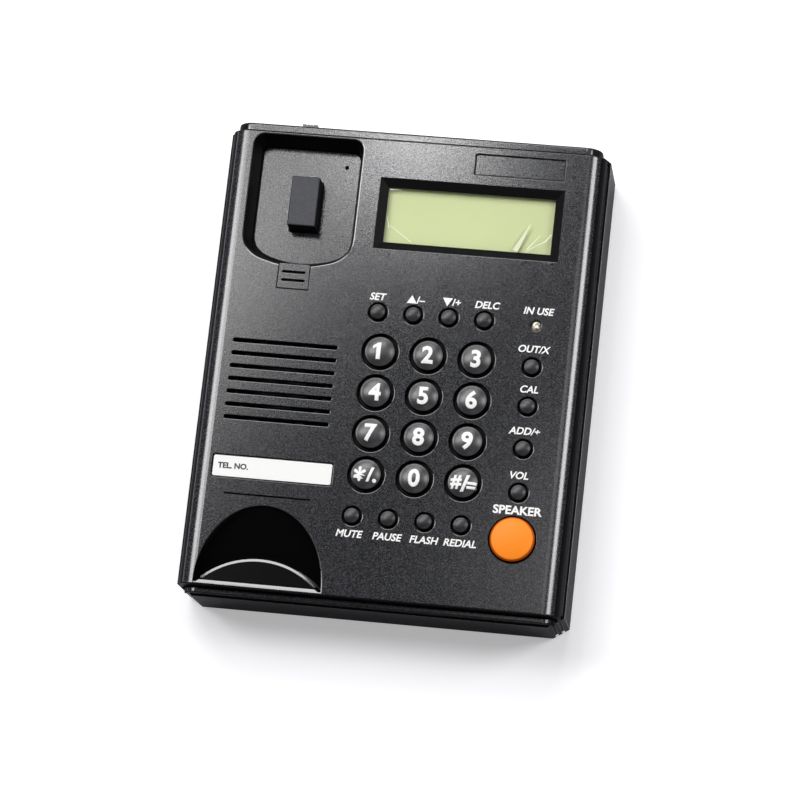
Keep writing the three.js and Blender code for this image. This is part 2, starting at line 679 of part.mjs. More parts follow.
// Upright grooves in the two cut front corners
function cornerGrooves() {
  const grooves = [];
  const angle = Math.atan2(baseCorner.y, baseCorner.x);
  for (const side of [-1, 1]) {
    for (const share of cornerGrooveShares) {
      const x = side * (baseHalf - baseCorner.x * share);
      const y = -housingHalf + baseCorner.y * (1 - share);
      grooves.push(new THREE.BoxGeometry(baseCorner.grooveWidth, baseCorner.grooveDepth * 2,
        baseHeight + overrun * 2).rotateZ(side * angle).translate(x, y, baseFloorZ + baseHeight / 2));
    }
  }
  return grooves;
}

// Jacks: a housing in a cradle, its socket open to the outside. Each is drawn with its opening
// towards +Y and then turned to its wall.
const jackBottom = jackZ - jack.height / 2;
const jackTop = jackZ + jack.height / 2;

function jackBlock(place, halfWidth, inner, outer, z0, z1) {
  return box(-halfWidth, halfWidth, -inner, outer, z0, z1).rotateZ(place.turn)
    .translate(place.x, place.y, 0);
}

const jackCradle = (place) => jackBlock(place, jack.width / 2 + seat + wall, jack.depth + seat + wall,
  -rimThick / 2, midFloorZ, jackBottom + jack.height / 3);

const jackHole = (place) => jackBlock(place, jack.width / 2 + seat, jack.depth + seat, overrun,
  jackBottom - seat, jackTop + seat);

function jackSolid(place) {
  const socketTop = jackZ + jack.socketHeight / 2;
  const cutters = [
    jackBlock(place, jack.socket / 2, jack.socketDepth, overrun, jackZ - jack.socketHeight / 2, socketTop),
    jackBlock(place, jackKeyway.width / 2, jack.socketDepth, overrun, jackZ,
      socketTop + jackKeyway.height),
  ];
  return cut(toSolid(jackBlock(place, jack.width / 2, jack.depth, 0, jackBottom, jackTop)),
    cutters.map(toSolid));
}

// A button: a domed cap on a shaft, a flange that the cover holds down, and a stem to the board
const matTopZ = underFaceZ - seat - keyFlange.height - keyTravel - seat;
const boardTopZ = matTopZ - mat.thick - seat;

function keySolid({ kind, x, y }) {
  const flangeTop = underFaceZ - seat;
  const flangeBottom = flangeTop - keyFlange.height;
  const stemEnd = boardTopZ + keyTravel + seat;
  const top = faceZ + kind.proud;
  const fillet = kind.dome * domeFilletShare;
  const outline = [[0, stemEnd], [keyStem.radius, stemEnd], [keyStem.radius, flangeBottom],
    [kind.hole + keyFlange.reach, flangeBottom], [kind.hole + keyFlange.reach, flangeTop],
    [kind.cap, flangeTop], [kind.cap, top - fillet], [kind.cap - fillet, top]];
  const rings = kind === roundKey ? 1 : 2;
  for (let i = 1; i < rings; i++) {
    const angle = (i / rings) * (Math.PI / 2);
    outline.push([(kind.cap - fillet) * Math.cos(angle), top + kind.dome * Math.sin(angle)]);
  }
  outline.push([0, top + kind.dome]);
  return toSolid(turned(outline, x, y, kind === roundKey ? smallHoleSteps : holeSteps));
}

// Sheets under the buttons
const sheetEdges = (() => {
  const far = (pick) => Math.max(...keys.map((key) => pick(key) + key.kind.hole)) + board.margin;
  return [-far((key) => -key.x), far((key) => key.x), -far((key) => -key.y), far((key) => key.y)];
})();

function keypadMat() {
  const [x0, x1, y0, y1] = sheetEdges;
  const sheet = toSolid(box(x0, x1, y0, y1, matTopZ - mat.thick, matTopZ));
  const holes = keys.map(({ x, y }) => toSolid(disc(x, y, keyStem.radius + keyStem.clearance,
    matTopZ - mat.thick - overrun, matTopZ + overrun, smallHoleSteps / 2)));
  holes.push(toSolid(disc(indicator.x, indicator.y, indicator.collar + seat, matTopZ - mat.thick - overrun,
    matTopZ + overrun, smallHoleSteps)));
  return cut(sheet, holes);
}

function keypadBoard() {
  const [x0, x1, y0, y1] = sheetEdges;
  return toSolid(box(x0, x1, y0, y1, boardTopZ - board.thick, boardTopZ));
}

// Hook plunger, retaining tab and ringer knob
const plungerFlangeTop = earFloorZ - pocketWall - seat;
const plungerFlangeBottom = plungerFlangeTop - plungerFlange.height;
const postEndZ = plungerFlangeBottom - plungerPost.length;
const ringerFrontY = coverBackY - ringer.skin - seat;

function hookPlunger() {
  const top = faceZ - plunger.top;
  const [flangeTop, flangeBottom] = [plungerFlangeTop, plungerFlangeBottom];
  const block = toSolid(prism(roundedRect(ear.x, plunger.y, plunger.width, plunger.length,
    plunger.clearance), flangeBottom, top, 3));
  const reach = (plungerFlange.reach + plunger.clearance) * 2;
  const flange = toSolid(prism(roundedRect(ear.x, plunger.y, plunger.width + reach,
    plunger.length + reach, plunger.clearance), flangeBottom, flangeTop, 2));
  const post = toSolid(disc(ear.x, plunger.y, plungerPost.radius, postEndZ, flangeBottom + seat,
    smallHoleSteps));
  return join([block, flange, post]);
}

function handsetTab() {
  const bottomZ = faceZ - tab.thick;
  const plate = toSolid(box(tab.x - tab.width / 2, tab.x + tab.width / 2, tab.bottom, tab.top,
    bottomZ, faceZ - seat / 3));
  const slots = tabSlotShares.map((share) => {
    const y = tab.bottom + (tab.top - tab.bottom) * share;
    return toSolid(box(tab.x - tabSlot.length / 2, tab.x + tabSlot.length / 2, y - tabSlot.width / 2,
      y + tabSlot.width / 2, faceZ - tabSlot.depth, faceZ + overrun));
  });
  return cut(plate, slots);
}

function ringerKnob() {
  const stem = toSolid(box(ringer.x - ringer.width / 2, ringer.x + ringer.width / 2,
    ringerFrontY + seat, coverBackY + ringer.proud, ringer.z - ringer.height / 2,
    ringer.z + ringer.height / 2));
  const groove = (dx) => toSolid(box(ringer.x + dx - seat, ringer.x + dx + seat,
    coverBackY + ringer.proud - seat, coverBackY + ringer.proud + overrun,
    ringer.z - ringer.height, ringer.z + ringer.height));
  const spread = ringer.width / 5;
  return cut(stem, [groove(-spread), groove(0), groove(spread)]);
}

// Display stack
const lensTopZ = underFaceZ - seat;
const panelTopZ = lensTopZ - lens.thick - seat;

function plate(x, y, width, height, top, thick) {
  return toSolid(box(x - width / 2, x + width / 2, y - height / 2, y + height / 2, top - thick, top));
}

const glassWidth = display.width - 2 * display.bevel;
const glassHeight = display.height - 2 * display.bevel;

function lensSolid() {
  return toSolid(prism(roundedRect(display.x, display.y, glassWidth + lens.margin * 2,
    glassHeight + lens.margin * 2, lens.corner), lensTopZ - lens.thick, lensTopZ));
}

// Loudspeaker: a steel basket, a paper cone inside it and a magnet behind it
const speakerY = grille.y - ((grille.count - 1) / 2) * grille.pitch;
const speakerTopZ = underFaceZ - seat;

function speakerBasket() {
  const { radius, flange, depth, wall: thick } = speakerUnit;
  const foot = speakerTopZ - depth;
  const magnet = radius * magnetShares.radius;
  const throat = radius * magnetShares.throat;
  return toSolid(turned([[throat, foot], [magnet, foot], [radius - flange * 2, speakerTopZ - flange],
    [radius, speakerTopZ - flange], [radius, speakerTopZ], [radius - flange, speakerTopZ],
    [radius - flange - thick, speakerTopZ - flange], [magnet - thick, foot + thick],
    [throat, foot + thick], [throat, foot]], grille.x, speakerY));
}

function speakerCone() {
  const { radius, flange, depth, wall: thick } = speakerUnit;
  const room = radius - flange - thick;
  const top = speakerTopZ - flange;
  const low = speakerTopZ - depth + thick + seat;
  const neck = room * coneShares.neck;
  return toSolid(turned([[0, low], [neck, low], [room * coneShares.rim, top - thick / 2],
    [room * coneShares.rim, top], [neck + seat, low + thick], [room * coneShares.cap, low + thick + seat],
    [room * coneShares.capEdge, low + thick * 2], [0, low + thick * 2 + seat * 2]], grille.x, speakerY));
}

function speakerMagnet() {
  const top = speakerTopZ - speakerUnit.depth - seat;
  return toSolid(disc(grille.x, speakerY, speakerUnit.radius * magnetShares.radius,
    top - speakerUnit.magnetHeight, top));
}

// Battery cells, contacts and door
const cellZ = bayTopZ - bay.side / 2 - cell.radius;

function cellSolid(i) {
  const x = bay.x + (i - (cell.count - 1) / 2) * (cell.radius * 2 + cell.gap);
  const end = cell.length + cell.nubLength;
  const outline = [[0, 0], [cell.radius, 0], [cell.radius, cell.length], [cell.nub, cell.length],
    [cell.nub, end], [0, end]];
  const points = outline.map(([radius, along]) => new THREE.Vector2(radius, along));
  const body = new THREE.LatheGeometry(points, smallHoleSteps);
  const flip = i % 2 ? Math.PI : 0;
  body.translate(0, -end / 2, 0).rotateX(flip).translate(x, bay.y, cellZ);
  return toSolid(body);
}

function contactSolid(side) {
  const end = (cell.length + cell.nubLength) / 2;
  const y0 = bay.y + side * (end + seat);
  const y1 = bay.y + side * (bayLength / 2 - seat);
  return toSolid(box(bay.x - bayWidth / 2 + bay.side, bay.x + bayWidth / 2 - bay.side,
    Math.min(y0, y1), Math.max(y0, y1), cellZ - cell.radius / 2, cellZ + cell.radius / 2));
}

function batteryDoor() {
  const panelSolid = toSolid(box(bay.x - doorWidth / 2, bay.x + doorWidth / 2,
    bay.y - doorLength / 2, bay.y + doorLength / 2, baseFloorZ, baseFloorZ + door.thick));
  const ribs = [];
  for (let i = 1; i <= latchRib.count; i++) {
    const y = bay.y + doorLength / 2 - latchRib.pitch * i;
    ribs.push(toSolid(box(bay.x - door.latch, bay.x + door.latch, y - latchRib.width, y,
      baseFloorZ - overrun, baseFloorZ + latchRib.depth)));
  }
  return cut(panelSolid, ribs);
}

// Fasteners and feet
function screwSolid([x, y]) {
  const headTop = screwHeadZ + screw.headHeight;
  return toSolid(turned([[0, screwHeadZ], [screw.head * screwHeadShare, screwHeadZ],
    [screw.head, screwHeadZ + screw.headHeight / 3], [screw.head, headTop], [screw.shank, headTop],
    [screw.shank, screwHeadZ + screw.length], [0, screwHeadZ + screw.length + screw.shank]], x, y,
  smallHoleSteps));
}

function footSolid([x, y]) {
  const top = baseFloorZ + foot.recess - seat;
  return toSolid(turned([[0, 0], [foot.radius - foot.edge, 0], [foot.radius, foot.edge],
    [foot.radius, top], [0, top]], x, y));
}

// The object
const phone = new THREE.Group();

function add(name, solid, material) {
  const mesh = new THREE.Mesh(toGeometry(solid), material);
  mesh.name = name;
  phone.add(mesh);
}

add('top_cover', topCover(), coverBlack);
add('bottom_cover', bottomCover(), baseBlack);
add('display_lens', lensSolid(), clear);
add('display_panel', plate(display.x, display.y, glassWidth + panel.margin * 2,
  glassHeight + panel.margin * 2, panelTopZ, panel.thick), displayGreen);
add('display_board', plate(display.x, display.y, glassWidth + displayBoard.margin,
  glassHeight + displayBoard.margin, panelTopZ - panel.thick - seat, displayBoard.thick), boardGreen);
add('number_card', toSolid(prism(roundedRect(card.x, card.y, card.width - seat * 2,
  card.height - seat * 2, card.corner - seat), faceZ - card.recess + seat,
faceZ - card.recess + seat + card.thick)), paper);
add('indicator_lamp', toSolid(turned([[0, boardTopZ + seat], [indicator.collar, boardTopZ + seat],
  [indicator.collar, boardTopZ + seat + mat.thick], [indicator.radius, boardTopZ + seat + mat.thick],
  [indicator.radius, faceZ - indicator.proud],
  [indicator.radius * indicatorTopShare, faceZ + indicator.proud / 2],
  [0, faceZ + indicator.proud]], indicator.x, indicator.y, smallHoleSteps)), lampClear);
add('keypad_mat', keypadMat(), rubberGrey);
add('keypad_board', keypadBoard(), boardGreen);
add('main_board', plate(mainBoard.x, mainBoard.y, mainBoard.width, mainBoard.length,
  mainBoard.z + mainBoard.thick, mainBoard.thick), boardGreen);
add('loudspeaker_basket', speakerBasket(), steel);
add('loudspeaker_cone', speakerCone(), coneBlack);
add('loudspeaker_magnet', speakerMagnet(), ferrite);
add('microphone', toSolid(disc(microphoneHole.x, microphoneHole.y, microphone.radius,
  earFloorZ - pocketWall - seat - microphone.height, earFloorZ - pocketWall - seat, smallHoleSteps)), steel);
add('hook_switch', toSolid(box(ear.x - hookSwitchBody.width / 2, ear.x + hookSwitchBody.width / 2,
  plunger.y - hookSwitchBody.length / 2, plunger.y + hookSwitchBody.length / 2,
  mainBoard.z + mainBoard.thick + seat, postEndZ - plunger.travel - seat)), jackBlack);
add('ringer_switch', toSolid(box(ringer.x - ringerBody.width / 2, ringer.x + ringerBody.width / 2,
  ringerFrontY - ringerBody.depth, ringerFrontY,
  ringer.z - ringerBody.height / 2, ringer.z + ringerBody.height / 2)), steel);
for (const [name, place] of Object.entries(jackPlaces)) add(name, jackSolid(place), jackBlack);
for (let i = 0; i < cell.count; i++) add(`battery_${i + 1}`, cellSolid(i), cellGrey);
add('battery_contact_front', contactSolid(-1), steel);
add('battery_contact_back', contactSolid(1), steel);
footPlaces().forEach((place, i) => add(`foot_${i + 1}`, footSolid(place), rubberBlack));
screwPlaces.forEach((place, i) => add(`case_screw_${i + 1}`, screwSolid(place), steel));
for (const key of keys) add(key.name, keySolid(key), key.material);
add('hook_plunger', hookPlunger(), keyBlack);
add('handset_tab', handsetTab(), coverBlack);
add('ringer_knob', ringerKnob(), keyBlack);
add('battery_door', batteryDoor(), baseBlack);

export default phone;
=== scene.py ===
import math
from contextlib import contextmanager

import bmesh
import bpy
from mathutils import Matrix, Vector


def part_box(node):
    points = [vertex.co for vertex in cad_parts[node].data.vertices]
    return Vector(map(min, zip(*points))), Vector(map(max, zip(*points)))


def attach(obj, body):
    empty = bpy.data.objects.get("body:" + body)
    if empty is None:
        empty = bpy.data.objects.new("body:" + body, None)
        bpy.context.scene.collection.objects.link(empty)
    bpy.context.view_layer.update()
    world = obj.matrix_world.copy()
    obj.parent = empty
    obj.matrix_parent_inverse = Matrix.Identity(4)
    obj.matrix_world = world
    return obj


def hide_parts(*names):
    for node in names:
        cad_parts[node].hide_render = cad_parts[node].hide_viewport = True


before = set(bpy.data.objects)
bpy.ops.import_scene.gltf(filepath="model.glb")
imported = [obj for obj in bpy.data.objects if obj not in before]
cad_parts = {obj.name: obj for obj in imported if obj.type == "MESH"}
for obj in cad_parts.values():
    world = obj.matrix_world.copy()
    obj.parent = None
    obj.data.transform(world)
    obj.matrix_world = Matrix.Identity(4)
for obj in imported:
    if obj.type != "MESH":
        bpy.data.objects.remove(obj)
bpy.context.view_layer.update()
scene = bpy.context.scene
scene.view_settings.view_transform = "Standard"

MM = 0.001
HOUSING = "housing"

# Housing
FACE_Z = 42
SPLIT_Z = 31
WALL = 2.5
SEAT = 0.3
OVERRUN = 1
SHORT_OVERRUN = 0.1
UNDER_FACE_Z = FACE_Z - WALL
COVER_HALF = 78
FACE_FRONT = -96.55
FACE_BACK = 95.25
EDGE_RADIUS = 7.5
END_ROUND = 0.45
INNER_ROUND = 0.2
BASE_EDGE = 0.3
BASE_EDGE_ANGLE = 35
FLAT_ANGLE = 1
LIP_SLOPE = 0.27
STEP_INSET = 2
STEP_HALF = COVER_HALF - STEP_INSET
FRONT_STEP = dict(drop=6, y=-99.05, groove=0.65, groove_depth=3)
BACK_STEP = dict(drop=1.5, y=99, groove=0.7, groove_depth=1, round=0.9, tighter=1)
SKIRT_LIP = dict(height=0.7, reach=0.45)

# Recesses and openings
LEFT_X = -45.08
EAR = dict(x=LEFT_X, width=46, top=94.2, bottom=39, depth=12.6, draft=2.0, wall=2, foot=0.3, rim=0.5)
EAR_MOAT = dict(width=0.4, depth=1.2, lip=0.35, front=1.9)
EAR_CORNER = dict(top=4.5, bottom=11, bulge=2.4, least=2.8)
EAR_WALL_TOP_SHARE = 0.1
EAR_FLOOR_Z = FACE_Z - EAR["depth"]
PLUNGER = dict(width=11.7, length=21.2, y=67.3, corner=0.4, soft=0.6, clearance=0.4, hole_corner=0.8,
               drop=3, flange=2, reach=2, post=2.2)
MIC_HOLE = dict(x=-30.07, y=85.6, radius=0.8)
MOUTH = dict(x=LEFT_X, half=26.2, height=33.2, y=-95.55, rim=0.5, back_depth=1.4, floor=29.2)
SCOOP_FALL = dict(drop=9.4, run=34.2)
RIDGE = dict(rise=11.6, chamfer=1.0, slope=0.27, foot=1.2, drop=2.4, bead=1.4, bead_top=0.1,
             bead_fall=0.5)
RIDGE_RADIUS = (MOUTH["half"] ** 2 + RIDGE["rise"] ** 2) / (2 * RIDGE["rise"])
TAB = dict(x=LEFT_X, width=12.8, top=39.6, bottom=29, thick=2.4, gap=0.35, corner=0.3, soft=0.25,
           sunk=0.1)
TAB_SLOT = dict(length=9.7, width=1.0, depth=1.5)
TAB_SLOT_SHARES = (0.33, 0.66)
DISPLAY = dict(x=24.5, y=64, width=76, height=30.2, corner=0.3, bevel=3.4, bevel_depth=2, foot=0.1,
               foot_width=0.12)
# Rounded lip of the display opening: how far out and how far below the face
DISPLAY_LIP = ((-0.15, 0.15), (0.05, 0.04), (0.25, 0))
BADGE = dict(x=43.2, y=87.7, width=37.4, height=9.2, depth=0.4, corner=0.8, gap=0.55, gap_depth=1)
GRILLE = dict(x=LEFT_X, y=5.6, length=43.4, slot=1.7, pitch=5.38, count=7)
CARD = dict(x=-44.3, y=-47.1, width=50, height=9.8, depth=1.1, corner=1.3, pocket_corner=1,
            margin=0.6, sunk=0.25, paste=0.05)
SLIT = dict(x=LEFT_X, y=-58.3, width=35.6, height=0.75, depth=1.2, corner=0.2)
RINGER = dict(x=-46.2, z=36.6, width=6.3, height=3, travel=3, skin=1.2, body_width=13, body_height=5.2,
              body_depth=2.4)
SLOT_CORNER_SHARE = 0.45
# Width of the sloped lip of each kind of opening
LIPS = dict(lamp=0.3, grille=0.25, card=0.15, badge=0.2, plunger=0.3, microphone=0.15, tab_slot=0.2)

# Buttons
DIGIT = dict(cap=6.25, hole=7.7, rim=7.95, proud=1.3, dome=1.3, fillet=0.6)
ROUND = dict(cap=3.15, hole=4.15, rim=4.45, proud=1.5, dome=0.6, fillet=0.5)
SPEAKER = dict(cap=9.1, hole=9.75, rim=9.9, proud=2.2, dome=1.0, fillet=1.7)
# How far below a key's shoulder, as a share of its fillet, its painted shade reaches up
SHADE_SIDE_SHARE = 0.45
SPEAKER_SHADE_SHARE = 0.2
KEY_TRAVEL = 1.5
FLANGE = dict(reach=0.4, height=1)
STEM_RADIUS = 1.6
MAT_THICK = 1
DIGITS_AT = dict(x=14, y=-11.7, pitch_x=19.8, pitch_y=17.1)
TOP_ROW = dict(x=13.4, y=22, pitch=14.6)
BOTTOM_ROW = dict(x=12.6, y=-63.3, pitch=14.8)
SIDE_COLUMN = dict(x=56.6, y=-11.7)
SIDE_ROW_SHARES = (0.93, -0.03, -1.06, -2.12)
SPEAKER_AT = (56.1, -67.3)
LAMP = dict(x=56.6, y=21.6, hole=2.2)

# Fineness of the meshes
WELD = 0.001
LEAST_CORNER = 0.01
LEAST_EDGE = 0.1
LEVEL = 0.99999
FINE = 64
MEDIUM = 40
COARSE = 24
EAR_STEPS = dict(corner=8, side=10)
MOUTH_STEPS = 48
FOOT_STEPS = 5
SOFT_STEPS = 4


# Materials
SMALL_GRAIN_SHARE = 0.25
SPECKLE_POWER = 2


def material(name, color, roughness, metallic=0.0, coat=0.0, specular=0.5):
    made = bpy.data.materials.new(name)
    made.use_nodes = True
    shader = made.node_tree.nodes["Principled BSDF"]
    shader.inputs["Base Color"].default_value = (*color, 1)
    shader.inputs["Roughness"].default_value = roughness
    shader.inputs["Metallic"].default_value = metallic
    shader.inputs["Coat Weight"].default_value = coat
    shader.inputs["Specular IOR Level"].default_value = specular
    return made


def add_node(made, kind, **settings):
    node = made.node_tree.nodes.new(kind)
    for key, value in settings.items():
        if key in node.inputs:
            node.inputs[key].default_value = value
        else:
            setattr(node, key, value)
    return node


def link(made, source, output, target, entry):
    made.node_tree.links.new(source.outputs[output], target.inputs[entry])


def finish(name, color, scale, bump, depth, rough, fine=2.7, speckle=0.0, **shine):
    """Moulded texture: two noises in object space drive the bump, and the finer one the roughness too.
    With a speckle, each small cell of the surface is a little lighter or darker."""
    made = material(name, color, sum(rough) / 2, **shine)
    shader = made.node_tree.nodes["Principled BSDF"]
    place = add_node(made, "ShaderNodeTexCoord")
    large = add_node(made, "ShaderNodeTexNoise", Scale=scale, Detail=0.6, Roughness=0.5)
    small = add_node(made, "ShaderNodeTexNoise", Scale=scale * fine, Detail=1.0, Roughness=0.5)
    mixed = add_node(made, "ShaderNodeMath", operation="MULTIPLY_ADD")
    mixed.inputs[1].default_value = SMALL_GRAIN_SHARE
    relief = add_node(made, "ShaderNodeBump", Strength=bump, Distance=depth * MM)
    spread = add_node(made, "ShaderNodeMapRange")
    spread.inputs["To Min"].default_value, spread.inputs["To Max"].default_value = rough
    link(made, place, "Object", large, "Vector")
    link(made, place, "Object", small, "Vector")
    link(made, small, "Fac", mixed, 0)
    link(made, large, "Fac", mixed, 2)
    link(made, mixed, 0, relief, "Height")
    link(made, small, "Fac", spread, "Value")
    link(made, relief, "Normal", shader, "Normal")
    link(made, spread, "Result", shader, "Roughness")
    if speckle:
        tint = add_node(made, "ShaderNodeMix", data_type="RGBA")
        tint.inputs["A"].default_value = (*(c * (1 - speckle) for c in color), 1)
        tint.inputs["B"].default_value = (*(c * (1 + 2 * speckle) for c in color), 1)
        cells = add_node(made, "ShaderNodeTexVoronoi", Scale=scale)
        pick = add_node(made, "ShaderNodeSeparateColor")
        few = add_node(made, "ShaderNodeMath", operation="POWER")
        few.inputs[1].default_value = SPECKLE_POWER
        link(made, place, "Object", cells, "Vector")
        link(made, cells, "Color", pick, "Color")
        link(made, pick, "Red", few, 0)
        link(made, few, 0, tint, "Factor")
        link(made, tint, "Result", shader, "Base Color")
    return made


# Each finish: name, colour, scale of its grain, strength and depth in millimetres of its bump, and
# its range of roughness
COVER_COLOR = (0.019, 0.0195, 0.0225)
COVER_GRAIN = dict(scale=2700, bump=0.32, depth=0.03, fine=2.2, speckle=0.9)
cover_black = finish("cover_black", COVER_COLOR, rough=(0.1, 0.17), specular=0.8, **COVER_GRAIN)
round_black = finish("round_black", COVER_COLOR, rough=(0.15, 0.23), specular=1.0, **COVER_GRAIN)
smooth_black = finish("smooth_black", (0.0015, 0.0015, 0.0018), 900, 0.05, 0.03, (0.16, 0.22),
                      specular=0.12)
# Painted shade: far darker than the cover's plastic, put on walls and floors of openings, grooves and
# gaps, on the keys' lower skirts and on the steep sides of the plunger and tab, where shade falls
recess_painted_shade = finish("recess_painted_shade", (0.0025, 0.0025, 0.003), 1100, 0.2, 0.05, (0.45, 0.6),
                      specular=0.12)
# Painted shade: a darker, duller copy of the cover's plastic for its steep walls at the sides and ends
wall_painted_shade = finish("wall_painted_shade", (0.005, 0.005, 0.0058), 1500, 0.3, 0.05, (0.28, 0.4), specular=0.02)
base_black = finish("base_black", (0.008, 0.008, 0.0095), 1500, 0.2, 0.05, (0.3, 0.4), 2.2, 0.25,
                    specular=0.02)
# Lighter, glossier copy of the base's plastic for its bevelled edges: their bright lines are partly the
# lamps' reflection and partly painted highlight
edge_gloss_highlight = finish("edge_gloss_highlight", (0.016, 0.016, 0.018), 1500, 0.1, 0.03, (0.22, 0.3), coat=0.5,
                    specular=1.0)
# Lighter, glossier copy of the cover's plastic for the mouthpiece ridge and the recess lips: partly the
# lamps' reflection, partly painted highlight
lip_gloss_highlight = finish("lip_gloss_highlight", (0.03, 0.03, 0.032), 1500, 0.1, 0.03, (0.14, 0.2), coat=0.6,
                     specular=1.0)
key_black = finish("key_black", (0.02, 0.0205, 0.0225), 1900, 0.2, 0.03, (0.3, 0.38), 2.2, 0.3,
                   specular=0.9)
block_black = finish("block_black", (0.03, 0.031, 0.038), 1300, 0.1, 0.03, (0.3, 0.4), 2.2, 0.12,
                     specular=0.3)
button_black = finish("button_black", (0.017, 0.0175, 0.0195), 1900, 0.15, 0.03, (0.3, 0.38), 2.2, 0.2)
orange = finish("orange_plastic", (0.98, 0.262, 0.013), 1800, 0.06, 0.03, (0.42, 0.52), specular=0.25)
# Painted shade: darker orange for the shaded lower rim of the speaker key
orange_painted_shade = finish("orange_painted_shade", (0.62, 0.1, 0.004), 1800, 0.06, 0.03, (0.42, 0.52), specular=0.15)
print_white = finish("print_white", (0.86, 0.86, 0.84), 2600, 0.05, 0.02, (0.45, 0.6))
card_white = finish("card_white", (0.84, 0.84, 0.82), 1600, 0.08, 0.03, (0.6, 0.75))
print_black = finish("print_black", (0.03, 0.03, 0.035), 2600, 0.05, 0.02, (0.5, 0.65))
film_haze = finish("film_haze", (0.66, 0.69, 0.5), 2600, 0.05, 0.02, (0.35, 0.45))
film_light = finish("film_light", (0.9, 0.93, 0.85), 2600, 0.05, 0.02, (0.2, 0.3))
lamp_clear = finish("lamp_clear", (0.5, 0.46, 0.37), 1100, 0.3, 0.1, (0.1, 0.2), 2.2, 0.7, coat=0.5)
rubber_black = finish("rubber_black", (0.012, 0.012, 0.012), 1300, 0.3, 0.1, (0.7, 0.85))
rubber_grey = finish("rubber_grey", (0.2, 0.21, 0.22), 1300, 0.2, 0.08, (0.65, 0.8))
board_green = finish("board_green", (0.02, 0.13, 0.045), 700, 0.1, 0.05, (0.35, 0.5))
steel = finish("zinc_steel", (0.6, 0.61, 0.63), 900, 0.06, 0.04, (0.28, 0.42), metallic=1.0)
basket_black = finish("basket_black", (0.01, 0.01, 0.01), 900, 0.06, 0.04, (0.5, 0.7), specular=0.2)
ferrite = finish("ferrite", (0.06, 0.06, 0.065), 1200, 0.2, 0.08, (0.5, 0.7))
cone_black = finish("cone_black", (0.02, 0.02, 0.02), 1400, 0.4, 0.1, (0.8, 0.95))
cell_grey = finish("cell_sleeve", (0.25, 0.27, 0.3), 800, 0.04, 0.03, (0.3, 0.45), metallic=0.4)
socket_black = finish("socket_black", (0.014, 0.014, 0.015), 1500, 0.1, 0.04, (0.35, 0.5))


def display_material():
    """Pale green panel whose tint varies softly from place to place."""
    made = material("display_green", (0.5, 0.53, 0.3), 0.5, specular=0.1)
    shader = made.node_tree.nodes["Principled BSDF"]
    place = add_node(made, "ShaderNodeTexCoord")
    clouds = add_node(made, "ShaderNodeTexNoise", Scale=28.0, Detail=2.0)
    tint = add_node(made, "ShaderNodeMix", data_type="RGBA")
    tint.inputs["A"].default_value = shader.inputs["Base Color"].default_value
    tint.inputs["B"].default_value = (0.55, 0.585, 0.34, 1)
    link(made, place, "Object", clouds, "Vector")
    link(made, clouds, "Fac", tint, "Factor")
    link(made, tint, "Result", shader, "Base Color")
    return made


def bare_material(name):
    """Material with nothing but its output."""
    made = bpy.data.materials.new(name)
    made.use_nodes = True
    made.node_tree.nodes.clear()
    return made, add_node(made, "ShaderNodeOutputMaterial")


def clear_material():
    """Clear acrylic: what is below shows through, and the surface adds its own gloss."""
    made, output = bare_material("clear_acrylic")
    through = add_node(made, "ShaderNodeBsdfTransparent", Color=(0.99, 1, 0.985, 1))
    gloss = add_node(made, "ShaderNodeBsdfGlossy", Color=(1, 1, 1, 1), Roughness=0.3)
    facing = add_node(made, "ShaderNodeFresnel", IOR=1.12)
    mix = add_node(made, "ShaderNodeMixShader")
    link(made, facing, "Fac", mix, "Fac")
    link(made, through, "BSDF", mix, 1)
    link(made, gloss, "BSDF", mix, 2)
    link(made, mix, "Shader", output, "Surface")
    return made


display_green = display_material()
clear_acrylic = clear_material()


# Mesh helpers
def new_object(name, data):
    obj = bpy.data.objects.new(name, data)
    scene.collection.objects.link(obj)
    return obj


@contextmanager
def edited(mesh):
    """Edit mesh that is written back at the end."""
    work = bmesh.new()
    work.from_mesh(mesh)
    yield work
    work.to_mesh(mesh)
    work.free()


def mesh_object(name, points, faces):
    mesh = bpy.data.meshes.new(name)
    mesh.from_pydata([tuple(c * MM for c in p) for p in points], [], faces)
    with edited(mesh) as work:
        bmesh.ops.remove_doubles(work, verts=work.verts, dist=WELD * MM)
        bmesh.ops.recalc_face_normals(work, faces=work.faces)
    return new_object(name, mesh)


def loft(rings):
    """Closed solid through rings of the same number of points."""
    count = len(rings[0])
    points = [p for ring in rings for p in ring]
    faces = [list(reversed(range(count)))]
    for level in range(len(rings) - 1):
        low = level * count
        for i in range(count):
            j = (i + 1) % count
            faces.append((low + i, low + j, low + count + j, low + count + i))
    faces.append(list(range(len(points) - count, len(points))))
    return points, faces


def merged(solids):
    """Several separate solids as one mesh."""
    points, faces = [], []
    for solid_points, solid_faces in solids:
        start = len(points)
        points += solid_points
        faces += [[start + i for i in face] for face in solid_faces]
    return points, faces


def box(x0, x1, y0, y1, z0, z1):
    return loft([[(x0, y0, z), (x1, y0, z), (x1, y1, z), (x0, y1, z)] for z in (z0, z1)])


def span(middle, half):
    return middle - half, middle + half


def arc(x, y, radius, start, end, steps):
    turns = [math.radians(start + (end - start) * i / steps) for i in range(steps + 1)]
    return [(x + radius * math.cos(a), y + radius * math.sin(a)) for a in turns]


def quarter(steps):
    """Angles from zero to a right angle."""
    return [math.pi / 2 * i / steps for i in range(steps + 1)]


def rounded_rect(x, y, width, height, corner, steps=6):
    def outline(grow):
        r = max(corner + grow, LEAST_CORNER)
        hx, hy = width / 2 + grow - r, height / 2 + grow - r
        return (arc(x + hx, y - hy, r, -90, 0, steps) + arc(x + hx, y + hy, r, 0, 90, steps)
                + arc(x - hx, y + hy, r, 90, 180, steps) + arc(x - hx, y - hy, r, 180, 270, steps))
    return outline


def circle(x, y, radius, steps=FINE):
    def outline(grow):
        return arc(x, y, radius + grow, 0, 360, steps)[:-1]
    return outline


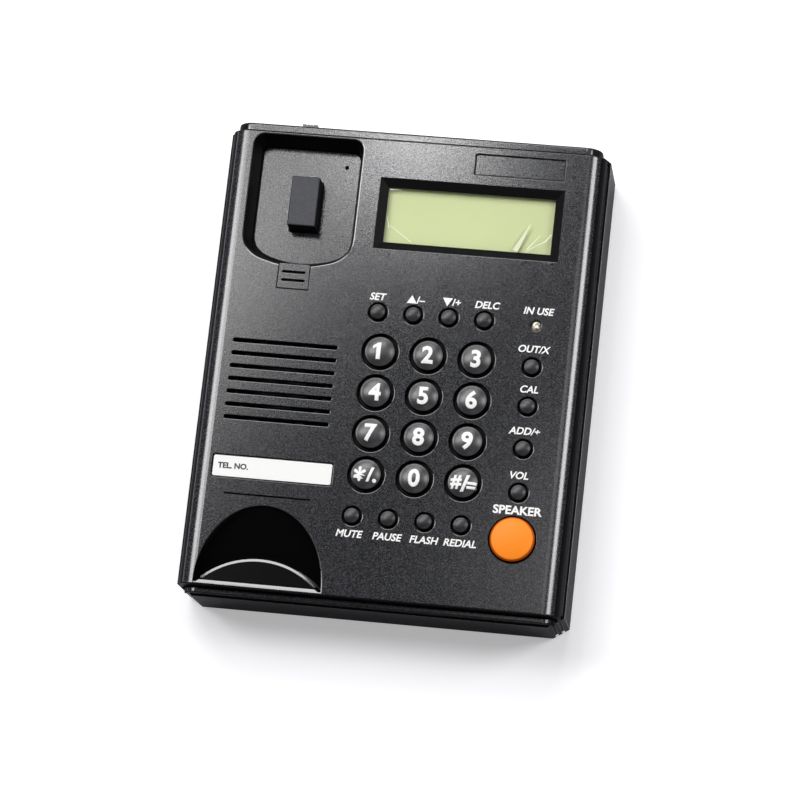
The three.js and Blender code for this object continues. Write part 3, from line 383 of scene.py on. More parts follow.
def curve_points(a, b, c, steps):
    """Quadratic curve from a to c, pulled towards b."""
    points = []
    for i in range(steps + 1):
        t = i / steps
        points.append(tuple((1 - t) ** 2 * p + 2 * t * (1 - t) * q + t * t * r
                            for p, q, r in zip(a, b, c)))
    return points


def ear_outline(grow, front=0.0):
    left, right = span(EAR["x"], EAR["width"] / 2 + grow)
    bulge = EAR_CORNER["bulge"]
    top, bottom = EAR["top"] + grow, EAR["bottom"] + bulge - grow + front
    small = max(EAR_CORNER["top"] + grow, EAR_CORNER["least"])
    wide = EAR_CORNER["bottom"] + grow
    low, high, bow = bottom - bulge / 2, bottom + bulge / 2, bottom - bulge * 2
    corner, side = EAR_STEPS["corner"], EAR_STEPS["side"]
    points = arc(left + small, top - small, small, 90, 180, corner)
    points += curve_points((left, bottom + wide), (left, high), (left + wide, low), side)
    points += curve_points((left + wide, low), (EAR["x"], bow), (right - wide, low), side)[1:]
    points += curve_points((right - wide, low), (right, high), (right, bottom + wide), side)[1:]
    return points + arc(right - small, top - small, small, 0, 90, corner)


def mouth_outline(grow):
    turns = [math.pi * i / MOUTH_STEPS for i in range(MOUTH_STEPS + 1)]
    across, deep = MOUTH["half"] + grow, MOUTH["height"] + grow
    corners = [(MOUTH["x"] - across, MOUTH["y"] - grow), (MOUTH["x"] + across, MOUTH["y"] - grow)]
    return corners + [(MOUTH["x"] + across * math.cos(a), MOUTH["y"] + deep * math.sin(a)) for a in turns]


def ring(outline, z):
    return [(x, y, z) for x, y in outline]


def recess(outline, floor, top=FACE_Z, draft=0.0, foot=0.0, rim=0.0):
    """Cutter for a recess or opening: rounded at its foot, drafted walls, a softly sloped lip."""
    rings = []
    for a in quarter(FOOT_STEPS)[:-1] if foot else ():
        rings.append(ring(outline(-draft - foot * (1 - math.sin(a))), floor + foot * (1 - math.cos(a))))
    rings.append(ring(outline(-draft), floor + foot))
    if rim:
        shoulder = top - (rim - rim / 4) * LIP_SLOPE
        rings.append(ring(outline(0), shoulder - rim / 2))
        rings.append(ring(outline(rim / 4), shoulder))
    rings.append(ring(outline(rim), top))
    rings.append(ring(outline(rim), top + OVERRUN))
    return loft(rings)


def lathe(profile, x, y, steps=FINE):
    """Solid of revolution through (radius, z) pairs that start and end on the axis."""
    points, faces = [], []
    inner = profile[1:-1]
    for radius, z in inner:
        points += ring(circle(x, y, radius, steps)(0), z)
    for level in range(len(inner) - 1):
        for i in range(steps):
            j = (i + 1) % steps
            low = level * steps
            faces.append((low + i, low + j, low + steps + j, low + steps + i))
    points += [(x, y, profile[0][1]), (x, y, profile[-1][1])]
    first, last = len(points) - 2, len(points) - 1
    top = (len(inner) - 1) * steps
    for i in range(steps):
        j = (i + 1) % steps
        faces.append((first, j, i))
        faces.append((last, top + i, top + j))
    return points, faces


def section(half, top, bottom, radius, inset, y, steps=12):
    """Cross-section of the cover at y: square below, rounded above, inset at a rounded end."""
    r = max(radius - inset / 2, LEAST_EDGE)
    hx, hz = half - inset - r, top - inset - r
    right = [(x, y, z) for x, z in arc(hx, hz, r, 0, 90, steps)]
    left = [(x, y, z) for x, z in arc(-hx, hz, r, 90, 180, steps)]
    return [(-half + inset, y, bottom), (half - inset, y, bottom)] + right + left


def bar(half, top, bottom, radius, front, back, end_round):
    """The section drawn out from front to back with rounded ends."""
    places = [(end_round * (1 - math.sin(a)), front + end_round * (1 - math.cos(a)))
              for a in quarter(SOFT_STEPS)]
    places += [(inset, front + back - y) for inset, y in reversed(places)]
    return loft([section(half, top, bottom, radius, inset, y) for inset, y in places])


def boolean(target, solid, operation):
    """Applies one boolean to target's mesh, and removes the other piece."""
    other = mesh_object("cutter", *solid)
    tool = target.modifiers.new("boolean", "BOOLEAN")
    tool.operation = operation
    tool.object = other
    tool.solver = "MANIFOLD"
    graph = bpy.context.evaluated_depsgraph_get()
    shaped = bpy.data.meshes.new_from_object(target.evaluated_get(graph))
    target.modifiers.clear()
    target.data = shaped
    bpy.data.objects.remove(other)


def add(target, solid):
    boolean(target, solid, "UNION")


def cut(target, solid):
    boolean(target, solid, "DIFFERENCE")


def trimmed(name, solid, limits):
    """What lies of a solid inside a box, as points and faces again."""
    piece = mesh_object(name, *solid)
    boolean(piece, limits, "INTERSECT")
    points = [tuple(vertex.co / MM) for vertex in piece.data.vertices]
    faces = [list(face.vertices) for face in piece.data.polygons]
    bpy.data.objects.remove(piece)
    return points, faces


def keep_flats(obj):
    """Hard shading border round level faces, so that what slopes beside them doesn't tint them."""
    with edited(obj.data) as work:
        for edge in work.edges:
            level = [face.normal.z > LEVEL for face in edge.link_faces]
            if any(level) and not all(level):
                edge.smooth = False


def dress(obj, made, body, stands_for=None, smooth=35.0):
    """Material, smooth shading below an angle, body and material slot of a piece."""
    obj.data.materials.clear()
    obj.data.materials.append(made)
    obj.data.shade_smooth()
    if smooth:
        obj.data.set_sharp_from_angle(angle=math.radians(smooth))
        keep_flats(obj)
        even = obj.modifiers.new("even_normals", "WEIGHTED_NORMAL")
        even.keep_sharp = True
        even.weight = 100
    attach(obj, body)
    if stands_for:
        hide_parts(stands_for)


# Places of the buttons: name, kind, middle
KEYS = []
DIGIT_NAMES = ("1", "2", "3", "4", "5", "6", "7", "8", "9", "star", "0", "hash")
for i, name in enumerate(DIGIT_NAMES):
    KEYS.append(("key_" + name, DIGIT, DIGITS_AT["x"] + (i % 3 - 1) * DIGITS_AT["pitch_x"],
                 DIGITS_AT["y"] + (1 - i // 3) * DIGITS_AT["pitch_y"]))
for row, names in ((TOP_ROW, ("set", "up", "down", "delete")),
                   (BOTTOM_ROW, ("mute", "pause", "flash", "redial"))):
    for i, name in enumerate(names):
        KEYS.append(("key_" + name, ROUND, row["x"] + (i - 1.5) * row["pitch"], row["y"]))
for i, name in enumerate(("out", "calculator", "add", "volume")):
    KEYS.append(("key_" + name, ROUND, SIDE_COLUMN["x"],
                 SIDE_COLUMN["y"] + SIDE_ROW_SHARES[i] * DIGITS_AT["pitch_y"]))
KEYS.append(("key_speaker", SPEAKER, *SPEAKER_AT))


# Top cover
POCKET_TRIM = dict(side=0.5, below=4)
SCOOP_TRIM = dict(front=0.4, top=0.05)
SCOOP_MESH = dict(beyond=0.8, ahead=3, behind=1, first=0.02, least=0.004)
SCOOP_STEPS = dict(across=72, shelf=14, foot=6, bowl=16)


def scoop_depth(x, y):
    """Depth below the face in the mouthpiece recess, from its middle and its front edge."""
    s = math.hypot(x, y + RIDGE_RADIUS - RIDGE["rise"]) - RIDGE_RADIUS
    ahead = max(y + MOUTH["rim"], 0)
    top = RIDGE["bead_top"] + min(ahead, RIDGE["bead"]) * RIDGE["slope"]
    fall = min(max((ahead - RIDGE["bead"]) / RIDGE["bead_fall"], 0), 1)
    shelf = top + (RIDGE["drop"] - top) * fall
    bowl = MOUTH["back_depth"] + (MOUTH["height"] - y) * SCOOP_FALL["drop"] / SCOOP_FALL["run"]
    edge, foot = RIDGE["chamfer"], RIDGE["foot"]
    if s <= -edge:
        return shelf
    if s <= 0:
        return min(shelf + (s + edge) * RIDGE["slope"], bowl)
    if s < foot:
        return max(bowl - (foot - math.sqrt(max(foot ** 2 - (foot - s) ** 2, 0))), shelf)
    return bowl


def scoop_block():
    """Solid whose top is the floor of the mouthpiece recess, on rows that follow its ridge."""
    spread = MOUTH["half"] + MOUTH["rim"] + SCOOP_MESH["beyond"]
    count, steps, bows, climbs = (SCOOP_STEPS[key] for key in ("across", "shelf", "foot", "bowl"))
    across = [-spread + 2 * spread * i / count for i in range(count + 1)]
    edge, foot, first = RIDGE["chamfer"], RIDGE["foot"], SCOOP_MESH["first"]
    centre = RIDGE["rise"] - RIDGE_RADIUS
    climb = MOUTH["height"] - RIDGE["rise"] + SCOOP_MESH["behind"]
    rows = [-edge, -edge / 2, 0]
    rows += [first + (foot - first) * (1 - math.cos(a)) for a in quarter(bows)]
    rows += [foot + climb * i / climbs for i in range(1, climbs + 1)]
    lip = -MOUTH["rim"]
    bead_end = lip + RIDGE["bead"]
    fall_end = bead_end + RIDGE["bead_fall"]
    levels = [lip - SCOOP_MESH["ahead"], lip, (lip + bead_end) / 2, bead_end,
              (bead_end + fall_end) / 2, fall_end]
    foot_line = [math.sqrt((RIDGE_RADIUS - edge) ** 2 - x * x) + centre for x in across]
    grid = []
    for i, level in enumerate(levels):
        spare = SCOOP_MESH["least"] * (len(levels) - i)
        grid.append([(x, min(level, end - spare)) for x, end in zip(across, foot_line)])
    last = grid[-1]
    for i in range(1, steps):
        grid.append([(x, y + (end - y) * i / steps) for (x, y), end in zip(last, foot_line)])
    for s in rows:
        grid.append([(x, math.sqrt((RIDGE_RADIUS + s) ** 2 - x * x) + centre) for x in across])
    points, faces = [], []
    for line in grid:
        points += [(MOUTH["x"] + x, MOUTH["y"] + y, FACE_Z - scoop_depth(x, y)) for x, y in line]
    below = len(points)
    points += [(x, y, MOUTH["floor"]) for x, y, z in points]
    wide, deep = len(across), len(grid)
    for j in range(deep - 1):
        for i in range(wide - 1):
            a, b = j * wide + i, (j + 1) * wide + i
            faces.append((a, a + 1, b + 1, b))
            faces.append((below + a, below + b, below + b + 1, below + a + 1))
    border = list(range(wide)) + [j * wide + wide - 1 for j in range(1, deep)]
    border += [(deep - 1) * wide + i for i in range(wide - 2, -1, -1)]
    border += [j * wide for j in range(deep - 2, 0, -1)]
    for i, a in enumerate(border):
        b = border[(i + 1) % len(border)]
        faces.append((a, below + a, below + b, b))
    return points, faces


def trench(rings):
    """Closed solid round a hole, whose last ring meets its first."""
    points, faces = loft(rings + rings[:1])
    return points, faces[1:-1]


def ear_moat():
    """Narrow trench along the foot of the recess's walls, which leaves its floor as an island."""
    outer, low, lip = -EAR["draft"], EAR_FLOOR_Z - EAR_MOAT["depth"], EAR_MOAT["lip"]
    inner = outer - EAR_MOAT["width"]
    shoulder = EAR_FLOOR_Z - lip * LIP_SLOPE
    front = EAR_MOAT["front"]
    levels = [(outer, 0, EAR_FLOOR_Z + OVERRUN), (outer, 0, low), (inner, front, low),
              (inner, front, shoulder), (inner - lip, front, EAR_FLOOR_Z),
              (inner - lip, front, EAR_FLOOR_Z + OVERRUN)]
    return trench([ring(ear_outline(grow, shift), z) for grow, shift, z in levels])


def outline_of(piece, corner=None, steps=6):
    return rounded_rect(piece["x"], piece["y"], piece["width"], piece["height"],
                        corner or piece["corner"], steps)


def badge_gap():
    """Narrow groove round the floor of the bare badge recess, where a plate would end."""
    outline = outline_of(BADGE)
    low, high = FACE_Z - BADGE["gap_depth"], FACE_Z - BADGE["depth"] + SHORT_OVERRUN
    levels = [(0, high), (0, low), (-BADGE["gap"], low), (-BADGE["gap"], high)]
    return trench([ring(outline(grow), z) for grow, z in levels])


def display_opening():
    """Cutter for the display's window, its bevel and the rounded lip round it."""
    window = outline_of(DISPLAY, steps=3)
    clear, low = -DISPLAY["bevel"], FACE_Z - DISPLAY["bevel_depth"]
    levels = [(clear, UNDER_FACE_Z - OVERRUN), (clear, low - DISPLAY["foot"]),
              (clear + DISPLAY["foot_width"], low)]
    levels += [(grow, FACE_Z - drop) for grow, drop in DISPLAY_LIP]
    levels.append((DISPLAY_LIP[-1][0], FACE_Z + OVERRUN))
    return loft([ring(window(grow), z) for grow, z in levels])


def build_cover():
    foot = SPLIT_Z + SEAT
    cover = mesh_object("cover_shell", *bar(COVER_HALF, FACE_Z, foot, EDGE_RADIUS, FACE_FRONT, FACE_BACK,
                                            END_ROUND))
    add(cover, bar(STEP_HALF, FACE_Z - BACK_STEP["drop"], foot, EDGE_RADIUS - BACK_STEP["tighter"],
                   FACE_BACK - WALL, BACK_STEP["y"], BACK_STEP["round"]))
    add(cover, bar(STEP_HALF, FACE_Z - FRONT_STEP["drop"], foot, EDGE_RADIUS - STEP_INSET,
                   FRONT_STEP["y"], FACE_FRONT + WALL, END_ROUND))
    add(cover, box(*span(0, COVER_HALF + SKIRT_LIP["reach"]), FACE_FRONT + STEP_INSET,
                   FACE_BACK - STEP_INSET, foot, foot + SKIRT_LIP["height"]))
    cut(cover, bar(COVER_HALF - WALL, UNDER_FACE_Z, SPLIT_Z - OVERRUN, EDGE_RADIUS - WALL,
                   FACE_FRONT + WALL, FACE_BACK - WALL, INNER_ROUND))

    ear_wall = EAR["wall"]
    pockets = [
        loft([ring(ear_outline(ear_wall - EAR["draft"]), EAR_FLOOR_Z - ear_wall),
              ring(ear_outline(ear_wall - EAR["draft"] * EAR_WALL_TOP_SHARE), FACE_Z - OVERRUN)]),
        loft([ring(mouth_outline(ear_wall - MOUTH["rim"]), MOUTH["floor"]),
              ring(mouth_outline(ear_wall - MOUTH["rim"]), FACE_Z - OVERRUN)]),
        loft([ring(outline_of(CARD, CARD["pocket_corner"])(WALL), z)
              for z in (UNDER_FACE_Z - CARD["depth"], FACE_Z - OVERRUN)]),
    ]
    side, low = POCKET_TRIM["side"], SPLIT_Z - POCKET_TRIM["below"]
    inner = box(side - COVER_HALF, COVER_HALF - side, FACE_FRONT + side, FACE_BACK - side, low,
                FACE_Z - side)
    for solid in pockets:
        add(cover, trimmed("pocket", solid, inner))
    gap = TAB["gap"]
    add(cover, box(*span(TAB["x"], TAB["width"] / 2 + WALL), TAB["bottom"] - WALL, TAB["top"],
                   FACE_Z - TAB["thick"] - WALL - gap, FACE_Z - OVERRUN))

    under = UNDER_FACE_Z - OVERRUN
    holes = [recess(circle(x, y, kind["hole"], MEDIUM if kind is ROUND else FINE), under,
                    rim=kind["rim"] - kind["hole"]) for _, kind, x, y in KEYS]
    holes.append(recess(circle(LAMP["x"], LAMP["y"], LAMP["hole"], MEDIUM), under, rim=LIPS["lamp"]))
    for i in range(GRILLE["count"]):
        slot = rounded_rect(GRILLE["x"], GRILLE["y"] - i * GRILLE["pitch"], GRILLE["length"],
                            GRILLE["slot"], GRILLE["slot"] * SLOT_CORNER_SHARE)
        holes.append(recess(slot, under, rim=LIPS["grille"]))
    holes.append(recess(outline_of(CARD), FACE_Z - CARD["depth"], rim=LIPS["card"]))
    holes.append(recess(outline_of(BADGE), FACE_Z - BADGE["depth"], rim=LIPS["badge"]))
    holes.append(recess(outline_of(SLIT), FACE_Z - SLIT["depth"]))
    holes.append(recess(mouth_outline, MOUTH["floor"] + OVERRUN, rim=MOUTH["rim"]))
    cut(cover, merged(holes))
    cut(cover, badge_gap())
    cut(cover, display_opening())
    cut(cover, recess(ear_outline, EAR_FLOOR_Z, draft=EAR["draft"], foot=EAR["foot"],
                      rim=EAR["rim"]))
    cut(cover, box(*span(TAB["x"], TAB["width"] / 2 + gap), TAB["bottom"] - gap,
                   TAB["top"] + EAR_CORNER["bulge"], FACE_Z - TAB["thick"] - gap, FACE_Z + OVERRUN))
    below = EAR_FLOOR_Z - ear_wall - OVERRUN
    floor_holes = [
        recess(rounded_rect(EAR["x"], PLUNGER["y"], PLUNGER["width"] + 2 * PLUNGER["clearance"],
                            PLUNGER["length"] + 2 * PLUNGER["clearance"], PLUNGER["hole_corner"]),
               below, top=EAR_FLOOR_Z, rim=LIPS["plunger"]),
        recess(circle(MIC_HOLE["x"], MIC_HOLE["y"], MIC_HOLE["radius"], COARSE),
               below, top=EAR_FLOOR_Z, rim=LIPS["microphone"])]
    cut(cover, merged(floor_holes))
    cut(cover, ear_moat())

    limits = box(-COVER_HALF, COVER_HALF, FACE_FRONT + SCOOP_TRIM["front"], 0, low,
                 FACE_Z - SCOOP_TRIM["top"])
    add(cover, trimmed("scoop_block", scoop_block(), limits))

    groove_top = FACE_Z - FRONT_STEP["drop"]
    cuts = [
        box(*span(0, STEP_HALF + OVERRUN), FACE_FRONT - FRONT_STEP["groove"], FACE_FRONT,
            groove_top - FRONT_STEP["groove_depth"], groove_top + 2 * OVERRUN),
        box(*span(0, STEP_HALF + OVERRUN), FACE_BACK, FACE_BACK + BACK_STEP["groove"],
            FACE_Z - BACK_STEP["drop"] - BACK_STEP["groove_depth"], FACE_Z),
        box(*span(RINGER["x"], (RINGER["width"] + RINGER["travel"]) / 2 + SEAT),
            BACK_STEP["y"] - RINGER["skin"] - SHORT_OVERRUN, BACK_STEP["y"] + OVERRUN,
            *span(RINGER["z"], RINGER["height"] / 2 + SEAT))]
    cut(cover, merged(cuts))
    back = BACK_STEP["y"] - RINGER["skin"]
    cut(cover, box(*span(RINGER["x"], RINGER["body_width"] / 2 + SEAT),
                   back - RINGER["body_depth"] - 2 * SEAT, back, SPLIT_Z - OVERRUN,
                   RINGER["z"] + RINGER["body_height"] / 2 + SEAT))
    dress(cover, cover_black, HOUSING, "top_cover", smooth=28)
    paint_cover(cover)


# Finishes of the cover's faces, with painted shade and painted highlight
PAINT = dict(near=0.05, wide=0.1, display=0.3, hair=0.02, below=3, ear_ends=4, lip=2, end=1)
STEEP = 0.75
END_STEEP = 0.93
CHAMFER_SHARES = (0.7, 1.2)
LIP_TOLERANCE = 0.03
# Material slots: smooth plastic, painted shade, painted shade of the side walls, gloss with painted
# highlight, softer gloss
SMOOTH, PAINTED_SHADE, SIDE_SHADE, GLOSS_HIGHLIGHT, SOFT = range(1, 6)


def hollow(piece, grow, sunk):
    """Test for points near a piece's rectangle of the face, and deeper than sunk."""
    def holds(x, y, z):
        return (abs(x - piece["x"]) < (piece["width"] + grow) / 2
                and abs(y - piece["y"]) < (piece["height"] + grow) / 2 and z < FACE_Z - sunk)
    return holds


def paint_cover(cover):
    """Smooth plastic in the mouthpiece recess, painted shade on the walls and floors of openings and on
    the walls at the sides, glossy lips on both recesses with a lighter painted highlight, and a softer
    gloss along the rounded edges."""
    for made in (smooth_black, recess_painted_shade, wall_painted_shade, lip_gloss_highlight, round_black):
        cover.data.materials.append(made)
    near, wide, lip = PAINT["near"], PAINT["wide"], PAINT["lip"]
    half, height = MOUTH["half"] + near, MOUTH["height"] + near
    tab = dict(x=TAB["x"], y=(TAB["top"] + TAB["bottom"]) / 2, width=TAB["width"] + 2 * TAB["gap"] + wide,
               height=TAB["top"] - TAB["bottom"] + 3 * TAB["gap"])
    ear = dict(x=EAR["x"], y=(EAR["top"] + EAR["bottom"]) / 2, width=EAR["width"],
               height=EAR["top"] - EAR["bottom"] + PAINT["ear_ends"])
    hollows = [hollow(DISPLAY, PAINT["display"], PAINT["hair"]), hollow(SLIT, wide, wide),
               hollow(CARD, wide, wide), hollow(BADGE, 2 * wide, BADGE["gap_depth"] - wide),
               hollow(tab, 0, wide), hollow(ear, 0, EAR["depth"] + EAR_MOAT["lip"] * LIP_SLOPE + near)]
    for face in cover.data.polygons:
        x, y, z = face.center / MM
        if not SPLIT_Z - PAINT["below"] <= z <= FACE_Z - PAINT["hair"]:
            continue
        dx, dy = x - MOUTH["x"], y - MOUTH["y"]
        slope = math.hypot(*face.normal[:2])
        steep = abs(face.normal.z) < STEEP
        at_side = abs(x) > COVER_HALF - EDGE_RADIUS
        at_end = not FACE_FRONT + PAINT["end"] < y < FACE_BACK - PAINT["end"]
        in_mouth = dy > -MOUTH["rim"] - near and (dx / half) ** 2 + (max(dy, 0) / height) ** 2 < 1
        by_ear = y > EAR["bottom"] - lip or dy < MOUTH["height"] + lip
        # Painted shade on the floors and walls of the display bevel, slit, card and badge recesses, tab
        # gap and ear moat
        if any(holds(x, y, z) for holds in hollows):
            face.material_index = PAINTED_SHADE
        # In the mouthpiece recess the ridge's chamfer takes the glossy copy with its painted highlight
        elif in_mouth:
            low, high = (RIDGE["slope"] * share for share in CHAMFER_SHARES)
            face.material_index = GLOSS_HIGHLIGHT if low < slope < high and face.normal.y > 0 else SMOOTH
        # Lips of the earpiece recess: glossy copy with painted highlight
        elif abs(slope - LIP_SLOPE) < LIP_TOLERANCE and abs(x - EAR["x"]) < EAR["width"] / 2 + lip \
                and by_ear:
            face.material_index = GLOSS_HIGHLIGHT
        # Painted shade on the back end's edge and groove
        elif face.normal.z < END_STEEP and y > FACE_BACK:
            face.material_index = PAINTED_SHADE
        # Painted shade on steep walls: the side copy at the sides and ends, the recess black elsewhere
        elif steep:
            face.material_index = SIDE_SHADE if at_side or at_end else PAINTED_SHADE
        elif at_side:
            face.material_index = SOFT


build_cover()


# Buttons
UNDER_FLANGE = UNDER_FACE_Z - SEAT - FLANGE["height"]
MAT_TOP = UNDER_FLANGE - KEY_TRAVEL - SEAT
BOARD_TOP = MAT_TOP - MAT_THICK - SEAT
STEM_END = BOARD_TOP + KEY_TRAVEL + SEAT
FILLET_STEPS = 5
DOME_STEPS = 12


def dome_height(kind, radius):
    """Height of the cap's dome at a distance from its axis."""
    edge = kind["cap"] - kind["fillet"]
    ball = (edge ** 2 + kind["dome"] ** 2) / (2 * kind["dome"])
    top = FACE_Z + kind["proud"] + kind["dome"]
    return top - ball + math.sqrt(max(ball ** 2 - radius ** 2, 0))


def build_key(name, kind, x, y):
    flange, flange_top = kind["hole"] + FLANGE["reach"], UNDER_FACE_Z - SEAT
    fillet = kind["fillet"]
    edge = kind["cap"] - fillet
    shoulder = FACE_Z + kind["proud"]
    profile = [(0, STEM_END), (STEM_RADIUS, STEM_END), (STEM_RADIUS, UNDER_FLANGE),
               (flange, UNDER_FLANGE), (flange, flange_top), (kind["cap"], flange_top),
               (kind["cap"], shoulder - fillet)]
    for a in quarter(FILLET_STEPS)[1:-1]:
        profile.append((edge + fillet * math.cos(a), shoulder - fillet + fillet * math.sin(a)))
    for i in range(DOME_STEPS):
        radius = edge * (1 - i / DOME_STEPS)
        profile.append((radius, dome_height(kind, radius)))
    profile.append((0, dome_height(kind, 0)))
    key = mesh_object(name + "_cap", *lathe(profile, x, y, MEDIUM if kind is ROUND else FINE))
    is_orange = kind is SPEAKER
    plastic = orange if is_orange else key_black if kind is DIGIT else button_black
    dress(key, plastic, name, name)
    # Painted shade: the cap's skirt and the lower part of its fillet take the recess black, and on the
    # speaker key a deeper orange above the face
    key.data.materials.append(recess_painted_shade)
    key.data.materials.append(orange_painted_shade)
    shade_top = shoulder - fillet * (SPEAKER_SHADE_SHARE if is_orange else SHADE_SIDE_SHARE)
    for face in key.data.polygons:
        if face.center.z < (FACE_Z if is_orange else shade_top) * MM:
            face.material_index = 1
        elif is_orange and face.center.z < shade_top * MM:
            face.material_index = 2


for key in KEYS:
    build_key(*key)


# Hook plunger and handset tab
STEEP_SIDE = 0.6
TAB_SHADE_BELOW = 0.5


def rounded_block(x, y, width, length, corner, low, high, soft):
    """Upright block with a softly sloped edge round its top."""
    outline = rounded_rect(x, y, width, length, corner, SOFT_STEPS)
    rings = [ring(outline(-soft * (1 - math.cos(a))), high - soft * (1 - math.sin(a)))
             for a in quarter(SOFT_STEPS)]
    return loft([ring(outline(0), low)] + rings)


def shade_sides(obj):
    """Paints the steep faces of a piece with the recess's painted shade."""
    obj.data.materials.append(recess_painted_shade)
    for face in obj.data.polygons:
        if abs(face.normal.z) < STEEP_SIDE:
            face.material_index = 1


def build_plunger():
    top = FACE_Z - PLUNGER["drop"]
    flange_top = EAR_FLOOR_Z - EAR["wall"] - SEAT
    flange_low = flange_top - PLUNGER["flange"]
    block = mesh_object("hook_block", *rounded_block(
        EAR["x"], PLUNGER["y"], PLUNGER["width"], PLUNGER["length"], PLUNGER["corner"], flange_low, top,
        PLUNGER["soft"]))
    reach = PLUNGER["reach"]
    add(block, box(*span(EAR["x"], PLUNGER["width"] / 2 + reach),
                   *span(PLUNGER["y"], PLUNGER["length"] / 2 + reach), flange_low, flange_top))
    post = circle(EAR["x"], PLUNGER["y"], PLUNGER["post"], COARSE)
    add(block, loft([ring(post(0), flange_low - PLUNGER["post"]), ring(post(0), flange_low + SEAT)]))
    dress(block, block_black, "hook_plunger", "hook_plunger", smooth=30)
    shade_sides(block)


def build_tab():
    length = TAB["top"] - TAB["bottom"]
    middle = (TAB["top"] + TAB["bottom"]) / 2
    top = FACE_Z - TAB["sunk"]
    plate = mesh_object("tab_plate", *rounded_block(
        TAB["x"], middle, TAB["width"], length, TAB["corner"], FACE_Z - TAB["thick"], top, TAB["soft"]))
    slots = []
    for share in TAB_SLOT_SHARES:
        outline = rounded_rect(TAB["x"], TAB["bottom"] + length * share, TAB_SLOT["length"],
                               TAB_SLOT["width"], TAB_SLOT["width"] * SLOT_CORNER_SHARE)
        slots.append(recess(outline, FACE_Z - TAB_SLOT["depth"], top=top, rim=LIPS["tab_slot"]))
    cut(plate, merged(slots))
    dress(plate, cover_black, "handset_tab", "handset_tab", smooth=30)
    shade_sides(plate)
    # Painted shade on the tab's lower part, down in its gap
    for face in plate.data.polygons:
        if face.center.z < (FACE_Z - TAB_SHADE_BELOW) * MM:
            face.material_index = 1


build_plunger()
build_tab()


# Lettering: plain digits and words
PRINT_THICK = 0.04
CUT_NEAR = 0.0001
DRAPE_STRIP = 0.7
DRAPE_LIFT = 0.01
LEGEND_LIFT = 0.005


def text_mesh(name, body, size, bold, slant=0.0, wide=1.0):
    """Flat lettering with its middle at the origin."""
    curve = bpy.data.curves.new(name, "FONT")
    curve.body = body
    curve.align_x = "CENTER"
    curve.align_y = "CENTER"
    curve.size = size * MM
    curve.offset = bold * MM
    curve.shear = slant
    curve.extrude = PRINT_THICK / 2 * MM
    curve.resolution_u = 4
    source = new_object(name, curve)
    graph = bpy.context.evaluated_depsgraph_get()
    graph.update()
    mesh = bpy.data.meshes.new_from_object(source.evaluated_get(graph))
    bpy.data.objects.remove(source)
    mesh.transform(Matrix.Diagonal((wide, 1, 1, 1)))
    xs = [v.co.x for v in mesh.vertices]
    ys = [v.co.y for v in mesh.vertices]
    mesh.transform(Matrix.Translation((-(min(xs) + max(xs)) / 2, -(min(ys) + max(ys)) / 2, 0)))
    return new_object(name, mesh)


def cut_into_strips(mesh, step):
    """Cuts a flat lettering mesh along a grid, so that it can follow a dome."""
    with edited(mesh) as work:
        bmesh.ops.remove_doubles(work, verts=work.verts, dist=WELD * MM)
        for axis in range(2):
            reach = max(abs(v.co[axis]) for v in work.verts)
            normal = Vector((1 - axis, axis, 0))
            count = int(reach / step)
            for i in range(-count, count + 1):
                bmesh.ops.bisect_plane(work, geom=work.verts[:] + work.edges[:] + work.faces[:],
                                       plane_co=normal * (i * step), plane_no=normal,
                                       dist=CUT_NEAR * MM)


DIGIT_SIZE = 9.6
DIGIT_BOLD = 0.34
# Signs on one key: text, size, boldness, width, and place of its middle on the key
STAR_SIGNS = (("*", 12.8, 0.26, 0.9, -2.4, -0.2), ("/", 8.2, 0.2, 1.15, 1.9, -0.2),
              (".", 8.6, 0.3, 1.0, 3.8, -2.6))
HASH_SIGNS = (("#", 7.5, 0.28, 0.95, -2.6, -0.2), ("/", 9.4, 0.24, 1.15, 1.1, -0.5),
              ("=", 8.2, 0.26, 0.9, 3.8, -1.2))
ONE = dict(height=6.9, stem=1.75, reach=1.5, drop=1.425, thick=1.3, notch=0.55, shift=0.4)
ONE_SHOULDER_SHARE = 0.3


def drape(label, key):
    """Lays flat lettering over the dome of a key and lets it ride there."""
    name, kind, x, y = key
    cut_into_strips(label.data, DRAPE_STRIP * MM)
    for vertex in label.data.vertices:
        lift = dome_height(kind, math.hypot(vertex.co.x, vertex.co.y) / MM) * MM
        vertex.co += Vector((x * MM, y * MM, lift + DRAPE_LIFT * MM))
    dress(label, print_white, name, smooth=0)


def figure_one():
    """Flat figure 1: an upright stem with a flag to its left."""
    half, top = ONE["stem"] / 2, ONE["height"] / 2
    tip, flag = -half - ONE["reach"], top - ONE["drop"]
    outline = [(half, -top), (half, top), (-half * ONE_SHOULDER_SHARE, top), (tip, flag),
               (tip, flag - ONE["thick"]), (-half, top - ONE["thick"] - ONE["notch"]), (-half, -top)]
    obj = mesh_object("digit_1", ring(outline, 0), [tuple(range(len(outline)))])
    obj.data.transform(Matrix.Translation((-ONE["shift"] * MM, 0, 0)))
    return obj


for key, name in zip(KEYS, DIGIT_NAMES):
    signs = {"star": STAR_SIGNS, "hash": HASH_SIGNS}.get(name, ())
    if name == "1":
        drape(figure_one(), key)
    elif not signs:
        drape(text_mesh("digit_" + name, name, DIGIT_SIZE, DIGIT_BOLD), key)
    for i, (body, size, bold, wide, dx, dy) in enumerate(signs):
        label = text_mesh(f"sign_{name}_{i + 1}", body, size, bold, wide=wide)
        label.data.transform(Matrix.Translation((dx * MM, dy * MM, 0)))
        drape(label, key)

LEGEND = dict(size=4.1, bold=0.1, slant=0.2)
SPEAKER_LEGEND = dict(size=4.8, bold=0.15, wide=1.05)
CARD_LEGEND = dict(size=3.2, bold=0.13)
ARROWS = ("up", "down")
